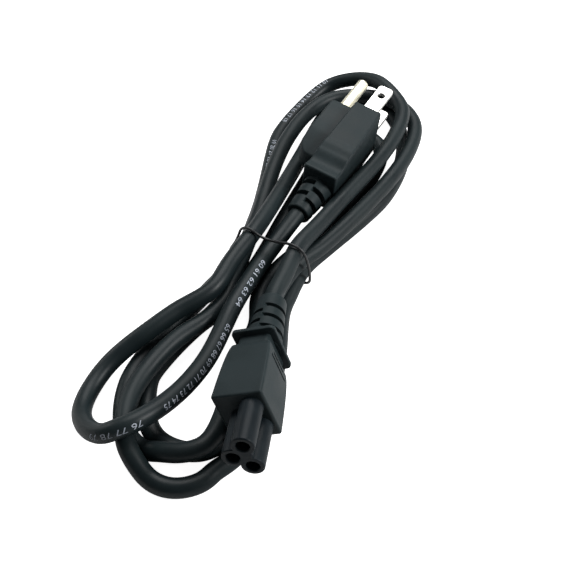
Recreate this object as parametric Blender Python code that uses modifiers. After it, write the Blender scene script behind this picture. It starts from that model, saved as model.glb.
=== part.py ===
"""A moulded power cord, folded into a hank and held by a thin tie.

One end has a three-pin plug with two flat blades and a round ground pin. The
other end has a small three-socket connector with a cloverleaf nose. The cord
runs from the connector to the plug in one piece: nine strands side by side,
looped at both ends, lying on the floor at Z = 0. Lengths are in metres.

The plug and the connector are modelled in axes of their own: X points out of
the face, Z runs along the line between the two live contacts, and Y completes
the set. An empty lays each of them on the hank.
"""
import math

import bmesh
import bpy
import numpy as np
from mathutils import Matrix, Vector

# Fits and clearances
SEAT_GAP = 0.0003
CUT_OVERRUN = 0.002
MERGE_DISTANCE = 0.00001

# The point of the hank that stands over the model's origin
HANK_CENTRE = (-0.0093, 0.01611, 0.0)

# Cord
CORD_DIAMETER = 0.0063
CORD_TUBE_POINTS = 90
CORD_TUBE_RESOLUTION = 3
CORD_STRAIGHT_LEAD = 0.004
CURVE_SAMPLES = 3000
STRAIGHT_BEND = 5.0

# Tie
TIE_DIAMETER = 0.001

# Plug, where it lies
PLUG_FACE = (0.0039, 0.0771, 0.0223)
PLUG_HEADING = math.radians(9.93)
PLUG_PITCH = math.radians(8.13)
PLUG_ROLL = math.radians(9.28)

# Plug, its moulded body
PLUG_LENGTH = 0.0394
PLUG_FRONT_HALF_WIDTH = 0.0058
PLUG_REAR_HALF_WIDTH = 0.0070
PLUG_FRONT_HALF_HEIGHT = 0.0109
PLUG_REAR_HALF_HEIGHT = 0.0097
PLUG_EDGE_RADIUS = 0.0009
GRIP_START = 0.0212
GRIP_RISE = 0.0004
GRIP_DIP = 0.0013
WING_REACH = 0.0160
WING_HALF_HEIGHT = 0.0067
WING_LENGTH = 0.0300
WING_SLOPE_START = 0.0180
WING_REAR_HALF_HEIGHT = 0.0040
WING_FRONT_RADIUS = 0.0022
WING_REAR_RADIUS = 0.0065
WING_EDGE_CHAMFER = 0.0009
PLUG_RELIEF_LENGTH = 0.0149
PLUG_RELIEF_ROOT_RADIUS = 0.0060
PLUG_RELIEF_END_RADIUS = 0.0046
PLUG_RELIEF_SLOTS = 2
PLUG_SLOT_WIDTH = 0.0020
PLUG_SLOT_PITCH = 0.0057
RELIEF_ROOT_DEPTH = 0.0040

# Relief slots, on both ends
SLOT_RIB_HALF_WIDTH = 0.0003
RELIEF_CORE_RADIUS = 0.0035

# Blades and ground pin
BLADE_WIDTH = 0.00635
BLADE_THICKNESS = 0.0015
BLADE_LENGTH = 0.0175
BLADE_SPACING = 0.0127
BLADE_HOLE_DIAMETER = 0.00305
BLADE_HOLE_PLACE = 0.0119
BLADE_ROOT = 0.0080
BLADE_TIP_CHAMFER = 0.0017
PIN_DIAMETER = 0.00475
PIN_LENGTH = 0.0214
PIN_OFFSET = 0.0119
PIN_ROOT = 0.0080
PIN_TIP_RADIUS = 0.0014

# Connector, where it lies
CONNECTOR_FACE = (0.0148, -0.0724, 0.0200)
CONNECTOR_HEADING = math.radians(167.05)
CONNECTOR_PITCH = math.radians(4.0)
CONNECTOR_ROLL = math.radians(18.87)

# Connector, its moulded body
SHELL_LENGTH = 0.0230
SHELL_FRONT_HALF_HEIGHT = 0.00943
SHELL_REAR_HALF_HEIGHT = 0.0078
SHELL_FRONT_HALF_WIDTH = 0.00796
SHELL_REAR_HALF_WIDTH = 0.0061
SHELL_EDGE_RADIUS = 0.0007
SHELL_SECTIONS = 6
NECK_LENGTH = 0.0041
NECK_HALF_HEIGHT = 0.0070
NECK_HALF_WIDTH = 0.0052
FLANGE_THICKNESS = 0.0014
FLANGE_HALF_HEIGHT = 0.0092
FLANGE_HALF_WIDTH = 0.0072
FLANGE_CORNER_RADIUS = 0.0016
CONNECTOR_RELIEF_LENGTH = 0.0215
CONNECTOR_RELIEF_ROOT_RADIUS = 0.0062
CONNECTOR_RELIEF_END_RADIUS = 0.0048
CONNECTOR_RELIEF_SLOTS = 3
CONNECTOR_SLOT_WIDTH = 0.0015
CONNECTOR_SLOT_PITCH = 0.0052

# Nose with its three sockets
NOSE_LENGTH = 0.0152
NOSE_ROOT = 0.0060
LOBE_RADIUS = 0.0035
LINE_SOCKET_SPREAD = 0.00855
LINE_SOCKET_SHIFT = 0.0033
EARTH_SOCKET_SHIFT = -0.0012
NOSE_WEB_RADIUS = 0.0030
SOCKET_DIAMETER = 0.0042
SOCKET_DEPTH = 0.0140
CONTACT_BORE = 0.0024
CONTACT_LENGTH = 0.0090
CONTACT_SETBACK = 0.0045

# The cord's way through the hank, from behind the connector to behind the
# plug, as points on its centre line. Each strand keeps clear of the others.
ROUTE = (
    (0.0025, -0.009, 0.0166), (0.002, 0.004, 0.017), (0.004, 0.0175, 0.016),
    (0.008, 0.04, 0.0154), (0.014, 0.0715, 0.0156), (0.014, 0.0985, 0.0158),
    (0.0095, 0.1085, 0.0158), (0.0005, 0.118, 0.016), (-0.0065, 0.123, 0.0148),
    (-0.015, 0.125, 0.0124), (-0.023, 0.1235, 0.0098), (-0.029, 0.118, 0.0074),
    (-0.036, 0.092, 0.0036), (-0.035, 0.075, 0.0033), (-0.0265, 0.04, 0.0032),
    (-0.023, 0.02, 0.0036), (-0.021, 0.005, 0.0048), (-0.0235, -0.008, 0.0036),
    (-0.0275, -0.026, 0.0032), (-0.0315, -0.0455, 0.0032), (-0.032, -0.0605, 0.0032),
    (-0.0285, -0.072, 0.0032), (-0.023, -0.08, 0.0032), (-0.0145, -0.0845, 0.0046),
    (-0.009, -0.085, 0.007), (-0.0035, -0.0845, 0.0086), (0.002, -0.082, 0.0096),
    (0.005, -0.0765, 0.0098), (0.0035, -0.062, 0.009), (0.0005, -0.054, 0.006),
    (-0.0015, -0.045, 0.0036), (-0.002, -0.035, 0.0032), (-0.0025, -0.0235, 0.0032),
    (-0.006, -0.014, 0.0032), (-0.007, -0.006, 0.0037), (-0.0045, 0.005, 0.0052),
    (0.0, 0.02, 0.0036), (0.004, 0.034, 0.0033), (0.01, 0.0665, 0.0032),
    (0.0085, 0.0885, 0.0032), (0.004, 0.0945, 0.0032), (-0.002, 0.0965, 0.0032),
    (-0.008, 0.095, 0.0032), (-0.0125, 0.089, 0.0032), (-0.014, 0.063, 0.0032),
    (-0.014, 0.0325, 0.0033), (-0.0135, 0.018, 0.0037), (-0.013, 0.005, 0.0048),
    (-0.0145, -0.006, 0.0036), (-0.017, -0.0205, 0.0032), (-0.0215, -0.032, 0.0032),
    (-0.026, -0.0535, 0.0032), (-0.0255, -0.06, 0.0032), (-0.0205, -0.071, 0.0032),
    (-0.014, -0.078, 0.0032), (-0.0055, -0.08, 0.0032), (0.005, -0.0745, 0.0032),
    (0.0055, -0.045, 0.004), (0.003, -0.034, 0.0074), (0.0005, -0.014, 0.0094),
    (0.003, 0.004, 0.0108), (0.0065, 0.013, 0.0102), (0.016, 0.047, 0.0095),
    (0.021, 0.0755, 0.0095), (0.019, 0.1025, 0.0095), (0.0105, 0.114, 0.0094),
    (0.0035, 0.118, 0.0095), (-0.0035, 0.1185, 0.0094), (-0.0175, 0.113, 0.0097),
    (-0.0265, 0.098, 0.0098), (-0.028, 0.063, 0.0096), (-0.0215, 0.0255, 0.0099),
    (-0.0185, 0.006, 0.0109), (-0.0155, -0.018, 0.0096), (-0.0155, -0.026, 0.0096),
    (-0.0175, -0.034, 0.0096), (-0.022, -0.0435, 0.0096), (-0.0255, -0.06, 0.0096),
    (-0.0245, -0.0745, 0.0096), (-0.019, -0.086, 0.0094), (-0.0155, -0.0895, 0.0082),
    (-0.012, -0.0915, 0.006), (-0.0075, -0.093, 0.0038), (0.0, -0.0925, 0.0032),
    (0.0065, -0.0875, 0.0032), (0.0085, -0.083, 0.0032), (0.012, -0.076, 0.0032),
    (0.0135, -0.055, 0.0032), (0.009, -0.033, 0.0032), (0.0035, -0.015, 0.0032),
    (0.003, -0.008, 0.0036), (0.003, 0.004, 0.0045), (0.006, 0.018, 0.0037),
    (0.016, 0.0475, 0.0033), (0.0195, 0.066, 0.0032), (0.017, 0.094, 0.0032),
    (0.006, 0.115, 0.0032), (-0.002, 0.1215, 0.0032), (-0.0115, 0.1225, 0.0032),
    (-0.0185, 0.118, 0.0032), (-0.022, 0.109, 0.0035), (-0.0195, 0.072, 0.009),
    (-0.0165, 0.0305, 0.0142), (-0.016, 0.004, 0.0169), (-0.0175, -0.012, 0.0164),
    (-0.0185, -0.0245, 0.0154), (-0.025, -0.034, 0.0135), (-0.032, -0.0455, 0.011),
    (-0.039, -0.056, 0.0065), (-0.0415, -0.0665, 0.0042), (-0.038, -0.0805, 0.0056),
    (-0.026, -0.0885, 0.0122), (-0.021, -0.0875, 0.0152), (-0.017, -0.084, 0.0161),
    (-0.012, -0.0705, 0.013), (-0.009, -0.049, 0.0108), (-0.0095, -0.0295, 0.0126),
    (-0.0095, -0.0145, 0.0126), (-0.0085, 0.006, 0.012),
)

# The tie's way round the strands
TIE_ROUTE = (
    (-0.0254, 0.0056, 0.0048), (-0.0243, 0.0060, 0.0017), (-0.0210, 0.0056, 0.0006),
    (-0.0090, 0.0048, 0.0006), (0.0030, 0.0040, 0.0006), (0.0064, 0.0036, 0.0017),
    (0.0074, 0.0028, 0.0046), (0.0074, 0.0016, 0.0108), (0.0065, 0.0006, 0.0168),
    (0.0048, 0.0004, 0.0199), (0.0020, 0.0006, 0.0211), (-0.0020, 0.0012, 0.0205),
    (-0.0090, 0.0022, 0.0192), (-0.0135, 0.0030, 0.0200), (-0.0165, 0.0034, 0.0210),
    (-0.0191, 0.0038, 0.0198), (-0.0206, 0.0042, 0.0166), (-0.0228, 0.0048, 0.0110),
)
TIE_TUBE_POINTS = 60


def make_collection(name):
    """Add an empty collection to the scene."""
    collection = bpy.data.collections.new(name)
    bpy.context.scene.collection.children.link(collection)
    return collection


def make_material(name, colour, roughness, metallic=0.0):
    """Add a Principled material."""
    material = bpy.data.materials.new(name)
    material.use_nodes = True
    shader = material.node_tree.nodes["Principled BSDF"]
    shader.inputs["Base Color"].default_value = (*colour, 1.0)
    shader.inputs["Roughness"].default_value = roughness
    shader.inputs["Metallic"].default_value = metallic
    return material


def clear_scene():
    """Remove every object that the file starts with."""
    for thing in list(bpy.data.objects):
        bpy.data.objects.remove(thing, do_unlink=True)


def place_object(name, data, collection, parent=None, material=None):
    """Put a mesh or curve into the scene under its parent."""
    thing = bpy.data.objects.new(name, data)
    collection.objects.link(thing)
    thing.parent = parent
    if material is not None:
        data.materials.append(material)
    return thing


def make_place(name, parent, face, heading, pitch, roll):
    """Add the empty that lays a moulding on the hank.

    Heading is turned from +Y towards +X, pitch lifts the face, and roll turns
    the moulding about its own axis.
    """
    empty = bpy.data.objects.new(name, None)
    MODEL.objects.link(empty)
    empty.parent = parent
    empty.location = face
    empty.rotation_euler = (roll, -pitch, math.pi / 2 - heading)
    return empty


def hide_tool(thing):
    """Keep a cutter or a joined piece out of the finished model."""
    thing.hide_render = True
    thing.display_type = 'WIRE'
    return thing


def shade_round(mesh, angle=35.0):
    """Shade a mesh smooth up to an edge angle in degrees."""
    mesh.shade_smooth()
    mesh.set_sharp_from_angle(angle=math.radians(angle))


def mesh_from_bmesh(name, shape, angle=35.0):
    """Close a bmesh into a mesh with its faces pointing outwards."""
    bmesh.ops.recalc_face_normals(shape, faces=shape.faces)
    mesh = bpy.data.meshes.new(name)
    shape.to_mesh(mesh)
    shape.free()
    shade_round(mesh, angle)
    return mesh


def box_mesh(name, low, high):
    """A box between two corners."""
    shape = bmesh.new()
    bmesh.ops.create_cube(shape, size=1.0)
    size = [b - a for a, b in zip(low, high)]
    middle = [(a + b) / 2 for a, b in zip(low, high)]
    bmesh.ops.scale(shape, vec=size, verts=shape.verts)
    bmesh.ops.translate(shape, vec=middle, verts=shape.verts)
    return mesh_from_bmesh(name, shape)


def rod_mesh(name, start, end, start_radius, end_radius, sides, centre=(0.0, 0.0)):
    """A cylinder or cone along X, between two distances from the face."""
    shape = bmesh.new()
    bmesh.ops.create_cone(shape, cap_ends=True, segments=sides, radius1=start_radius,
                          radius2=end_radius, depth=end - start)
    turn = Matrix.Rotation(math.pi / 2, 4, 'Y')
    move = Matrix.Translation(((start + end) / 2, centre[0], centre[1]))
    bmesh.ops.transform(shape, matrix=move @ turn, verts=shape.verts)
    return mesh_from_bmesh(name, shape)


def outline_mesh(name, outline, half_depth, turn):
    """A flat outline filled and extruded to both sides, then turned."""
    curve = bpy.data.curves.new(name + "_outline", 'CURVE')
    curve.dimensions = '2D'
    curve.fill_mode = 'BOTH'
    curve.extrude = half_depth
    spline = curve.splines.new('POLY')
    spline.points.add(len(outline) - 1)
    for point, (across, along) in zip(spline.points, outline):
        point.co = (across, along, 0.0, 1.0)
    spline.use_cyclic_u = True
    guide = place_object(name + "_guide", curve, TOOLS)
    bpy.context.view_layer.update()
    evaluated = guide.evaluated_get(bpy.context.evaluated_depsgraph_get())
    mesh = bpy.data.meshes.new_from_object(evaluated)
    bpy.data.objects.remove(guide, do_unlink=True)
    shape = bmesh.new()
    shape.from_mesh(mesh)
    bpy.data.meshes.remove(mesh)
    bmesh.ops.remove_doubles(shape, verts=shape.verts, dist=MERGE_DISTANCE)
    bmesh.ops.dissolve_limit(shape, angle_limit=0.0005, verts=shape.verts, edges=shape.edges)
    bmesh.ops.transform(shape, matrix=turn, verts=shape.verts)
    return mesh_from_bmesh(name, shape)


def stack_outlines(name, layers):
    """A closed solid through outlines that lie one above another."""
    shape = bmesh.new()
    rings = [[shape.verts.new((x, y, z)) for x, y in outline] for outline, z in layers]
    for near, far in zip(rings, rings[1:]):
        for i in range(len(near)):
            beside = (i + 1) % len(near)
            shape.faces.new((near[i], near[beside], far[beside], far[i]))
    shape.faces.new(rings[0])
    shape.faces.new(rings[-1])
    return mesh_from_bmesh(name, shape)


def round_edges(thing, radius, segments=2, angle=30.0):
    """Round the edges of a solid."""
    bevel = thing.modifiers.new("round_edges", 'BEVEL')
    bevel.width = radius
    bevel.segments = segments
    bevel.limit_method = 'ANGLE'
    bevel.angle_limit = math.radians(angle)


def join_or_cut(thing, tool, operation):
    """Join a tool to a solid, or cut it away."""
    boolean = thing.modifiers.new(operation.lower() + "_" + tool.name, 'BOOLEAN')
    boolean.operation = operation
    boolean.solver = 'EXACT'
    boolean.object = hide_tool(tool)


def arc(centre, radius, start, end, steps):
    """Points on an arc, with its angles in degrees."""
    angles = np.radians(np.linspace(start, end, steps + 1))
    return [(centre[0] + radius * math.cos(a), centre[1] + radius * math.sin(a)) for a in angles]


def blend(start, end, share):
    """A value part of the way between two others."""
    return start + (end - start) * share


def smooth_curve(points, samples, closed=False):
    """A natural cubic curve through points, sampled evenly along its length.

    The knots are spaced by the square root of the distance between points,
    which keeps the curve from bulging where they crowd together.
    """
    points = np.array(points, dtype=float)
    if closed:
        points = np.vstack([points[-3:], points, points[:4]])
    knots = np.concatenate([[0.0], np.cumsum(np.sqrt(np.linalg.norm(np.diff(points, axis=0), axis=1)))])
    step = np.diff(knots)
    count = len(points)
    system = np.eye(count)
    slopes = np.zeros((count, 3))
    rise = np.diff(points, axis=0) / step[:, None]
    for i in range(1, count - 1):
        system[i, i - 1:i + 2] = (step[i - 1], 2 * (step[i - 1] + step[i]), step[i])
        slopes[i] = 6 * (rise[i] - rise[i - 1])
    bend = np.linalg.solve(system, slopes)
    first, last = (knots[3], knots[-4]) if closed else (knots[0], knots[-1])
    at = np.linspace(first, last, samples)
    span = np.clip(np.searchsorted(knots, at, side='right') - 1, 0, count - 2)
    width = step[span][:, None]
    ahead = (knots[span + 1] - at)[:, None]
    behind = (at - knots[span])[:, None]
    curve = (bend[span] * ahead ** 3 + bend[span + 1] * behind ** 3) / (6 * width)
    curve += (points[span] / width - bend[span] * width / 6) * ahead
    curve += (points[span + 1] / width - bend[span + 1] * width / 6) * behind
    travelled = np.concatenate([[0.0], np.cumsum(np.linalg.norm(np.diff(curve, axis=0), axis=1))])
    even = np.linspace(0.0, travelled[-1], samples)
    return np.stack([np.interp(even, travelled, curve[:, k]) for k in range(3)], axis=1)


def thin_out(curve, count):
    """Choose points on a curve, closer together where it bends more."""
    step = np.linalg.norm(curve[1] - curve[0])
    heading = np.gradient(curve, step, axis=0)
    bend = np.linalg.norm(np.gradient(heading, step, axis=0), axis=1)
    weight = np.sqrt(bend + STRAIGHT_BEND)
    progress = np.concatenate([[0.0], np.cumsum((weight[1:] + weight[:-1]) / 2)])
    chosen = np.linspace(0.0, progress[-1], count)
    return np.stack([np.interp(chosen, progress, curve[:, k]) for k in range(3)], axis=1)


def tube(name, points, radius, resolution, closed, parent, material):
    """A round tube along a line of points."""
    curve = bpy.data.curves.new(name, 'CURVE')
    curve.dimensions = '3D'
    curve.bevel_depth = radius
    curve.bevel_resolution = resolution
    curve.use_fill_caps = not closed
    spline = curve.splines.new('POLY')
    spline.points.add(len(points) - 1)
    for point, place in zip(spline.points, points):
        point.co = (*place, 1.0)
    spline.use_cyclic_u = closed
    return place_object(name, curve, MODEL, parent, material)


def relief(name, parent, root, length, root_radius, end_radius, slots, slot_width, pitch, first_side):
    """A slotted strain relief that tapers back from its root to the cord.

    The slots are cut from the first side and the other in turn, half a pitch apart.
    They leave a rib between them and a round core around the cord.
    """
    sleeve = place_object(name, rod_mesh(name, -root - length, -root + RELIEF_ROOT_DEPTH,
                                         end_radius, root_radius, 24), TOOLS, parent)
    reach = root_radius + CUT_OVERRUN
    for side in (-1, 1):
        for i in range(slots):
            back = root + pitch * (i + (0.25 if side == first_side else 0.75))
            near, far = sorted((side * SLOT_RIB_HALF_WIDTH, side * reach))
            slot = box_mesh(name + "_slot", (-back - slot_width, near, -reach), (-back, far, reach))
            cutter = place_object(f"{name}_slot_{'right' if side < 0 else 'left'}_{i + 1}", slot, TOOLS, parent)
            join_or_cut(sleeve, cutter, 'DIFFERENCE')
    core = place_object(name + "_core", rod_mesh(name + "_core", -root - length + slot_width, -root + slot_width,
                                                 RELIEF_CORE_RADIUS, RELIEF_CORE_RADIUS, 20), TOOLS, parent)
    join_or_cut(sleeve, core, 'UNION')
    return sleeve


def plug_side_outline():
    """The plug's side, with a ridge and a finger dip near its rear."""
    steps = 12
    upper = [(0.0, PLUG_FRONT_HALF_HEIGHT)]
    grip = PLUG_LENGTH - GRIP_START
    for i in range(steps + 1):
        share = i / steps
        back = GRIP_START + grip * share
        line = blend(PLUG_FRONT_HALF_HEIGHT, PLUG_REAR_HALF_HEIGHT, back / PLUG_LENGTH)
        wave = GRIP_RISE * math.sin(math.pi * min(share / 0.4, 1.0)) ** 2
        wave -= GRIP_DIP * math.sin(math.pi * max(share - 0.4, 0.0) / 0.6) ** 2
        upper.append((-back, line + wave))
    lower = [(x, -z) for x, z in reversed(upper)]
    return upper + lower


def wing_outline(inset):
    """The plan of the wing that holds the ground pin, drawn in by an inset."""
    front = arc((-WING_FRONT_RADIUS, WING_REACH - WING_FRONT_RADIUS), WING_FRONT_RADIUS - inset, 0, 90, 4)
    rear = arc((-WING_LENGTH + WING_REAR_RADIUS, WING_REACH - WING_REAR_RADIUS), WING_REAR_RADIUS - inset, 90, 180, 8)
    return [(-inset, 0.0)] + front + rear + [(-WING_LENGTH + inset, 0.0)]


def make_wing(place):
    """The wing, with its top and its underside sloping in towards the rear."""
    wall = WING_HALF_HEIGHT - WING_EDGE_CHAMFER
    layers = [(wing_outline(WING_EDGE_CHAMFER), -WING_HALF_HEIGHT), (wing_outline(0.0), -wall),
              (wing_outline(0.0), wall), (wing_outline(WING_EDGE_CHAMFER), WING_HALF_HEIGHT)]
    wing = place_object("plug_wing", stack_outlines("plug_wing", layers), TOOLS, place)
    slope = (WING_HALF_HEIGHT - WING_REAR_HALF_HEIGHT) / (WING_LENGTH - WING_SLOPE_START)
    start = (-WING_SLOPE_START + CUT_OVERRUN, WING_HALF_HEIGHT + CUT_OVERRUN * slope)
    end = (-WING_LENGTH - CUT_OVERRUN, WING_REAR_HALF_HEIGHT - CUT_OVERRUN * slope)
    stand_up = Matrix.Rotation(math.pi / 2, 4, 'X')
    for side in (1, -1):
        outline = [(x, side * z) for x, z in (start, end, (end[0], start[1]))]
        wedge = outline_mesh("wing_slope", outline, WING_REACH + CUT_OVERRUN, stand_up)
        cutter = place_object(f"wing_slope_{'top' if side > 0 else 'underside'}", wedge, TOOLS, place)
        join_or_cut(wing, cutter, 'DIFFERENCE')
    return wing


def make_plug_body(place, material):
    """The plug's moulding: block, wing, strain relief and pockets."""
    stand_up = Matrix.Rotation(math.pi / 2, 4, 'X')
    mesh = outline_mesh("plug_body", plug_side_outline(), PLUG_REAR_HALF_WIDTH, stand_up)
    for vertex in mesh.vertices:
        half = blend(PLUG_FRONT_HALF_WIDTH, PLUG_REAR_HALF_WIDTH, -vertex.co.x / PLUG_LENGTH)
        vertex.co.y = math.copysign(half, vertex.co.y)
    body = place_object("plug_body", mesh, MODEL, place, material)
    round_edges(body, PLUG_EDGE_RADIUS, 2, 40.0)
    join_or_cut(body, make_wing(place), 'UNION')
    sleeve = relief("plug_relief", place, PLUG_LENGTH, PLUG_RELIEF_LENGTH, PLUG_RELIEF_ROOT_RADIUS,
                    PLUG_RELIEF_END_RADIUS, PLUG_RELIEF_SLOTS, PLUG_SLOT_WIDTH, PLUG_SLOT_PITCH, 1)
    join_or_cut(body, sleeve, 'UNION')
    half_width = BLADE_WIDTH / 2 + SEAT_GAP
    half_thick = BLADE_THICKNESS / 2 + SEAT_GAP
    for name, side in (("line", 1), ("neutral", -1)):
        height = side * BLADE_SPACING / 2
        mesh = box_mesh("blade_pocket", (-BLADE_ROOT - SEAT_GAP, -half_width, height - half_thick),
                        (CUT_OVERRUN, half_width, height + half_thick))
        join_or_cut(body, place_object(f"blade_pocket_{name}", mesh, TOOLS, place), 'DIFFERENCE')
    pocket_radius = PIN_DIAMETER / 2 + SEAT_GAP
    mesh = rod_mesh("pin_pocket", -PIN_ROOT - SEAT_GAP, CUT_OVERRUN, pocket_radius, pocket_radius, 24,
                    (PIN_OFFSET, 0.0))
    join_or_cut(body, place_object("pin_pocket", mesh, TOOLS, place), 'DIFFERENCE')
    return body


def make_blade(name, side, place, material):
    """A flat blade with a hole near its chamfered tip."""
    half_width = BLADE_WIDTH / 2
    half_thick = BLADE_THICKNESS / 2
    outline = [(-BLADE_ROOT, -half_width), (BLADE_LENGTH - BLADE_TIP_CHAMFER, -half_width),
               (BLADE_LENGTH, -half_width + BLADE_TIP_CHAMFER), (BLADE_LENGTH, half_width - BLADE_TIP_CHAMFER),
               (BLADE_LENGTH - BLADE_TIP_CHAMFER, half_width), (-BLADE_ROOT, half_width)]
    lift = Matrix.Translation((0.0, 0.0, side * BLADE_SPACING / 2))
    blade = place_object(name, outline_mesh(name, outline, half_thick, lift), MODEL, place, material)
    hole = bmesh.new()
    bmesh.ops.create_cone(hole, cap_ends=True, segments=20, radius1=BLADE_HOLE_DIAMETER / 2,
                          radius2=BLADE_HOLE_DIAMETER / 2, depth=BLADE_THICKNESS + 2 * CUT_OVERRUN)
    bmesh.ops.translate(hole, vec=(BLADE_HOLE_PLACE, 0.0, side * BLADE_SPACING / 2), verts=hole.verts)
    cutter = place_object(name + "_hole", mesh_from_bmesh(name + "_hole", hole), TOOLS, place)
    join_or_cut(blade, cutter, 'DIFFERENCE')
    return blade


def make_ground_pin(place, material):
    """The round ground pin with its domed tip."""
    radius = PIN_DIAMETER / 2
    tip = [(radius - PIN_TIP_RADIUS + x, PIN_LENGTH - PIN_TIP_RADIUS + z)
           for x, z in reversed(arc((0.0, 0.0), PIN_TIP_RADIUS, 0, 90, 4))]
    profile = [(0.0, PIN_LENGTH)] + tip + [(radius, -PIN_ROOT), (0.0, -PIN_ROOT)]
    mesh = bpy.data.meshes.new("ground_pin")
    mesh.from_pydata([(x, 0.0, z) for x, z in profile], [(i, i + 1) for i in range(len(profile) - 1)], [])
    pin = place_object("ground_pin", mesh, MODEL, place, material)
    pin.location = (0.0, PIN_OFFSET, 0.0)
    pin.rotation_euler = (0.0, math.pi / 2, 0.0)
    screw = pin.modifiers.new("turn", 'SCREW')
    screw.steps = 24
    screw.render_steps = 24
    screw.use_merge_vertices = True
    screw.merge_threshold = MERGE_DISTANCE
    screw.use_smooth_shade = True
    return pin


def loft_sections(name, sections):
    """A closed solid through rectangles that stand across X.

    Each section gives its distance from the face, its half width along Y and
    its half height along Z.
    """
    shape = bmesh.new()
    rings = []
    for x, half_width, half_height in sections:
        corners = ((-1, -1), (1, -1), (1, 1), (-1, 1))
        rings.append([shape.verts.new((x, a * half_width, b * half_height)) for a, b in corners])
    for near, far in zip(rings, rings[1:]):
        for i in range(4):
            shape.faces.new((near[i], near[(i + 1) % 4], far[(i + 1) % 4], far[i]))
    shape.faces.new(rings[0])
    shape.faces.new(rings[-1])
    return mesh_from_bmesh(name, shape)


def shell_sections():
    """The connector's body: straight at the face, its shoulders rounding in to the rear."""
    sections = []
    for i in range(SHELL_SECTIONS + 1):
        share = i / SHELL_SECTIONS
        narrowing = 1.0 - math.sqrt(max(0.0, 1.0 - share ** 3.2))
        sections.append((-SHELL_LENGTH * share,
                         blend(SHELL_FRONT_HALF_WIDTH, SHELL_REAR_HALF_WIDTH, 0.35 * share + 0.65 * narrowing),
                         blend(SHELL_FRONT_HALF_HEIGHT, SHELL_REAR_HALF_HEIGHT, 0.35 * share + 0.65 * narrowing)))
    return sections


def make_connector_body(place, material):
    """The connector's moulding: shell, neck, flange, strain relief and pocket."""
    body = place_object("connector_body", loft_sections("connector_body", shell_sections()), MODEL, place, material)
    round_edges(body, SHELL_EDGE_RADIUS, 2, 50.0)
    neck_end = SHELL_LENGTH + NECK_LENGTH
    overlap = SHELL_EDGE_RADIUS
    neck = box_mesh("connector_neck", (-neck_end - overlap, -NECK_HALF_WIDTH, -NECK_HALF_HEIGHT),
                    (-SHELL_LENGTH + NECK_LENGTH, NECK_HALF_WIDTH, NECK_HALF_HEIGHT))
    join_or_cut(body, place_object("connector_neck", neck, TOOLS, place), 'UNION')
    flange_mesh = box_mesh("connector_flange", (-neck_end - FLANGE_THICKNESS, -FLANGE_HALF_WIDTH, -FLANGE_HALF_HEIGHT),
                           (-neck_end, FLANGE_HALF_WIDTH, FLANGE_HALF_HEIGHT))
    flange = place_object("connector_flange", flange_mesh, TOOLS, place)
    along = [edge.index for edge in flange_mesh.edges
             if abs(flange_mesh.vertices[edge.vertices[0]].co.x - flange_mesh.vertices[edge.vertices[1]].co.x) > 0]
    weights = flange_mesh.attributes.new("bevel_weight_edge", 'FLOAT', 'EDGE')
    for index in along:
        weights.data[index].value = 1.0
    corners = flange.modifiers.new("round_corners", 'BEVEL')
    corners.width = FLANGE_CORNER_RADIUS
    corners.segments = 4
    corners.limit_method = 'WEIGHT'
    join_or_cut(body, flange, 'UNION')
    sleeve = relief("connector_relief", place, neck_end + FLANGE_THICKNESS, CONNECTOR_RELIEF_LENGTH,
                    CONNECTOR_RELIEF_ROOT_RADIUS, CONNECTOR_RELIEF_END_RADIUS, CONNECTOR_RELIEF_SLOTS,
                    CONNECTOR_SLOT_WIDTH, CONNECTOR_SLOT_PITCH, -1)
    join_or_cut(body, sleeve, 'UNION')
    pocket = nose_solid("nose_pocket", place, -NOSE_ROOT - SEAT_GAP, CUT_OVERRUN, SEAT_GAP)
    join_or_cut(body, pocket, 'DIFFERENCE')
    return body


def socket_places():
    """Where the three sockets are, with their names."""
    spread = LINE_SOCKET_SPREAD / 2
    return (("line", LINE_SOCKET_SHIFT, spread), ("neutral", LINE_SOCKET_SHIFT, -spread),
            ("earth", EARTH_SOCKET_SHIFT, 0.0))


def nose_outline(extra):
    """The cloverleaf: three lobes joined by fillets, as one closed outline.

    The outline is the path of a circle's outside: an arc round each lobe, and
    between two lobes a straight web as far out as the web radius reaches.
    """
    places = [(y, z) for _, y, z in socket_places()]
    middle = np.mean(places, axis=0)
    samples = 72
    outline = []
    for i in range(samples):
        angle = 2 * math.pi * i / samples
        ray = np.array((math.cos(angle), math.sin(angle)))
        reach = NOSE_WEB_RADIUS + extra
        for y, z in places:
            offset = np.array((y, z)) - middle
            along = float(offset @ ray)
            miss = float(offset @ offset) - along ** 2
            radius = LOBE_RADIUS + extra
            if radius ** 2 > miss:
                reach = max(reach, along + math.sqrt(radius ** 2 - miss))
        outline.append((middle[0] + reach * ray[0], middle[1] + reach * ray[1]))
    return outline


def nose_solid(name, place, start, end, extra):
    """The cloverleaf section as a solid between two distances from the face."""
    half = (end - start) / 2
    turn = Matrix(((0, 0, 1, (start + end) / 2), (1, 0, 0, 0), (0, 1, 0, 0), (0, 0, 0, 1)))
    return place_object(name, outline_mesh(name, nose_outline(extra), half, turn), TOOLS, place)


def make_connector_insert(place, material):
    """The nose, from its root in the shell to its end, with three sockets."""
    insert = nose_solid("connector_insert", place, -NOSE_ROOT, NOSE_LENGTH, 0.0)
    TOOLS.objects.unlink(insert)
    MODEL.objects.link(insert)
    insert.data.materials.append(material)
    for name, y, z in socket_places():
        mesh = rod_mesh("socket", NOSE_LENGTH - SOCKET_DEPTH, NOSE_LENGTH + CUT_OVERRUN, SOCKET_DIAMETER / 2,
                        SOCKET_DIAMETER / 2, 24, (y, z))
        join_or_cut(insert, place_object(f"socket_{name}", mesh, TOOLS, place), 'DIFFERENCE')
    return insert


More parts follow.
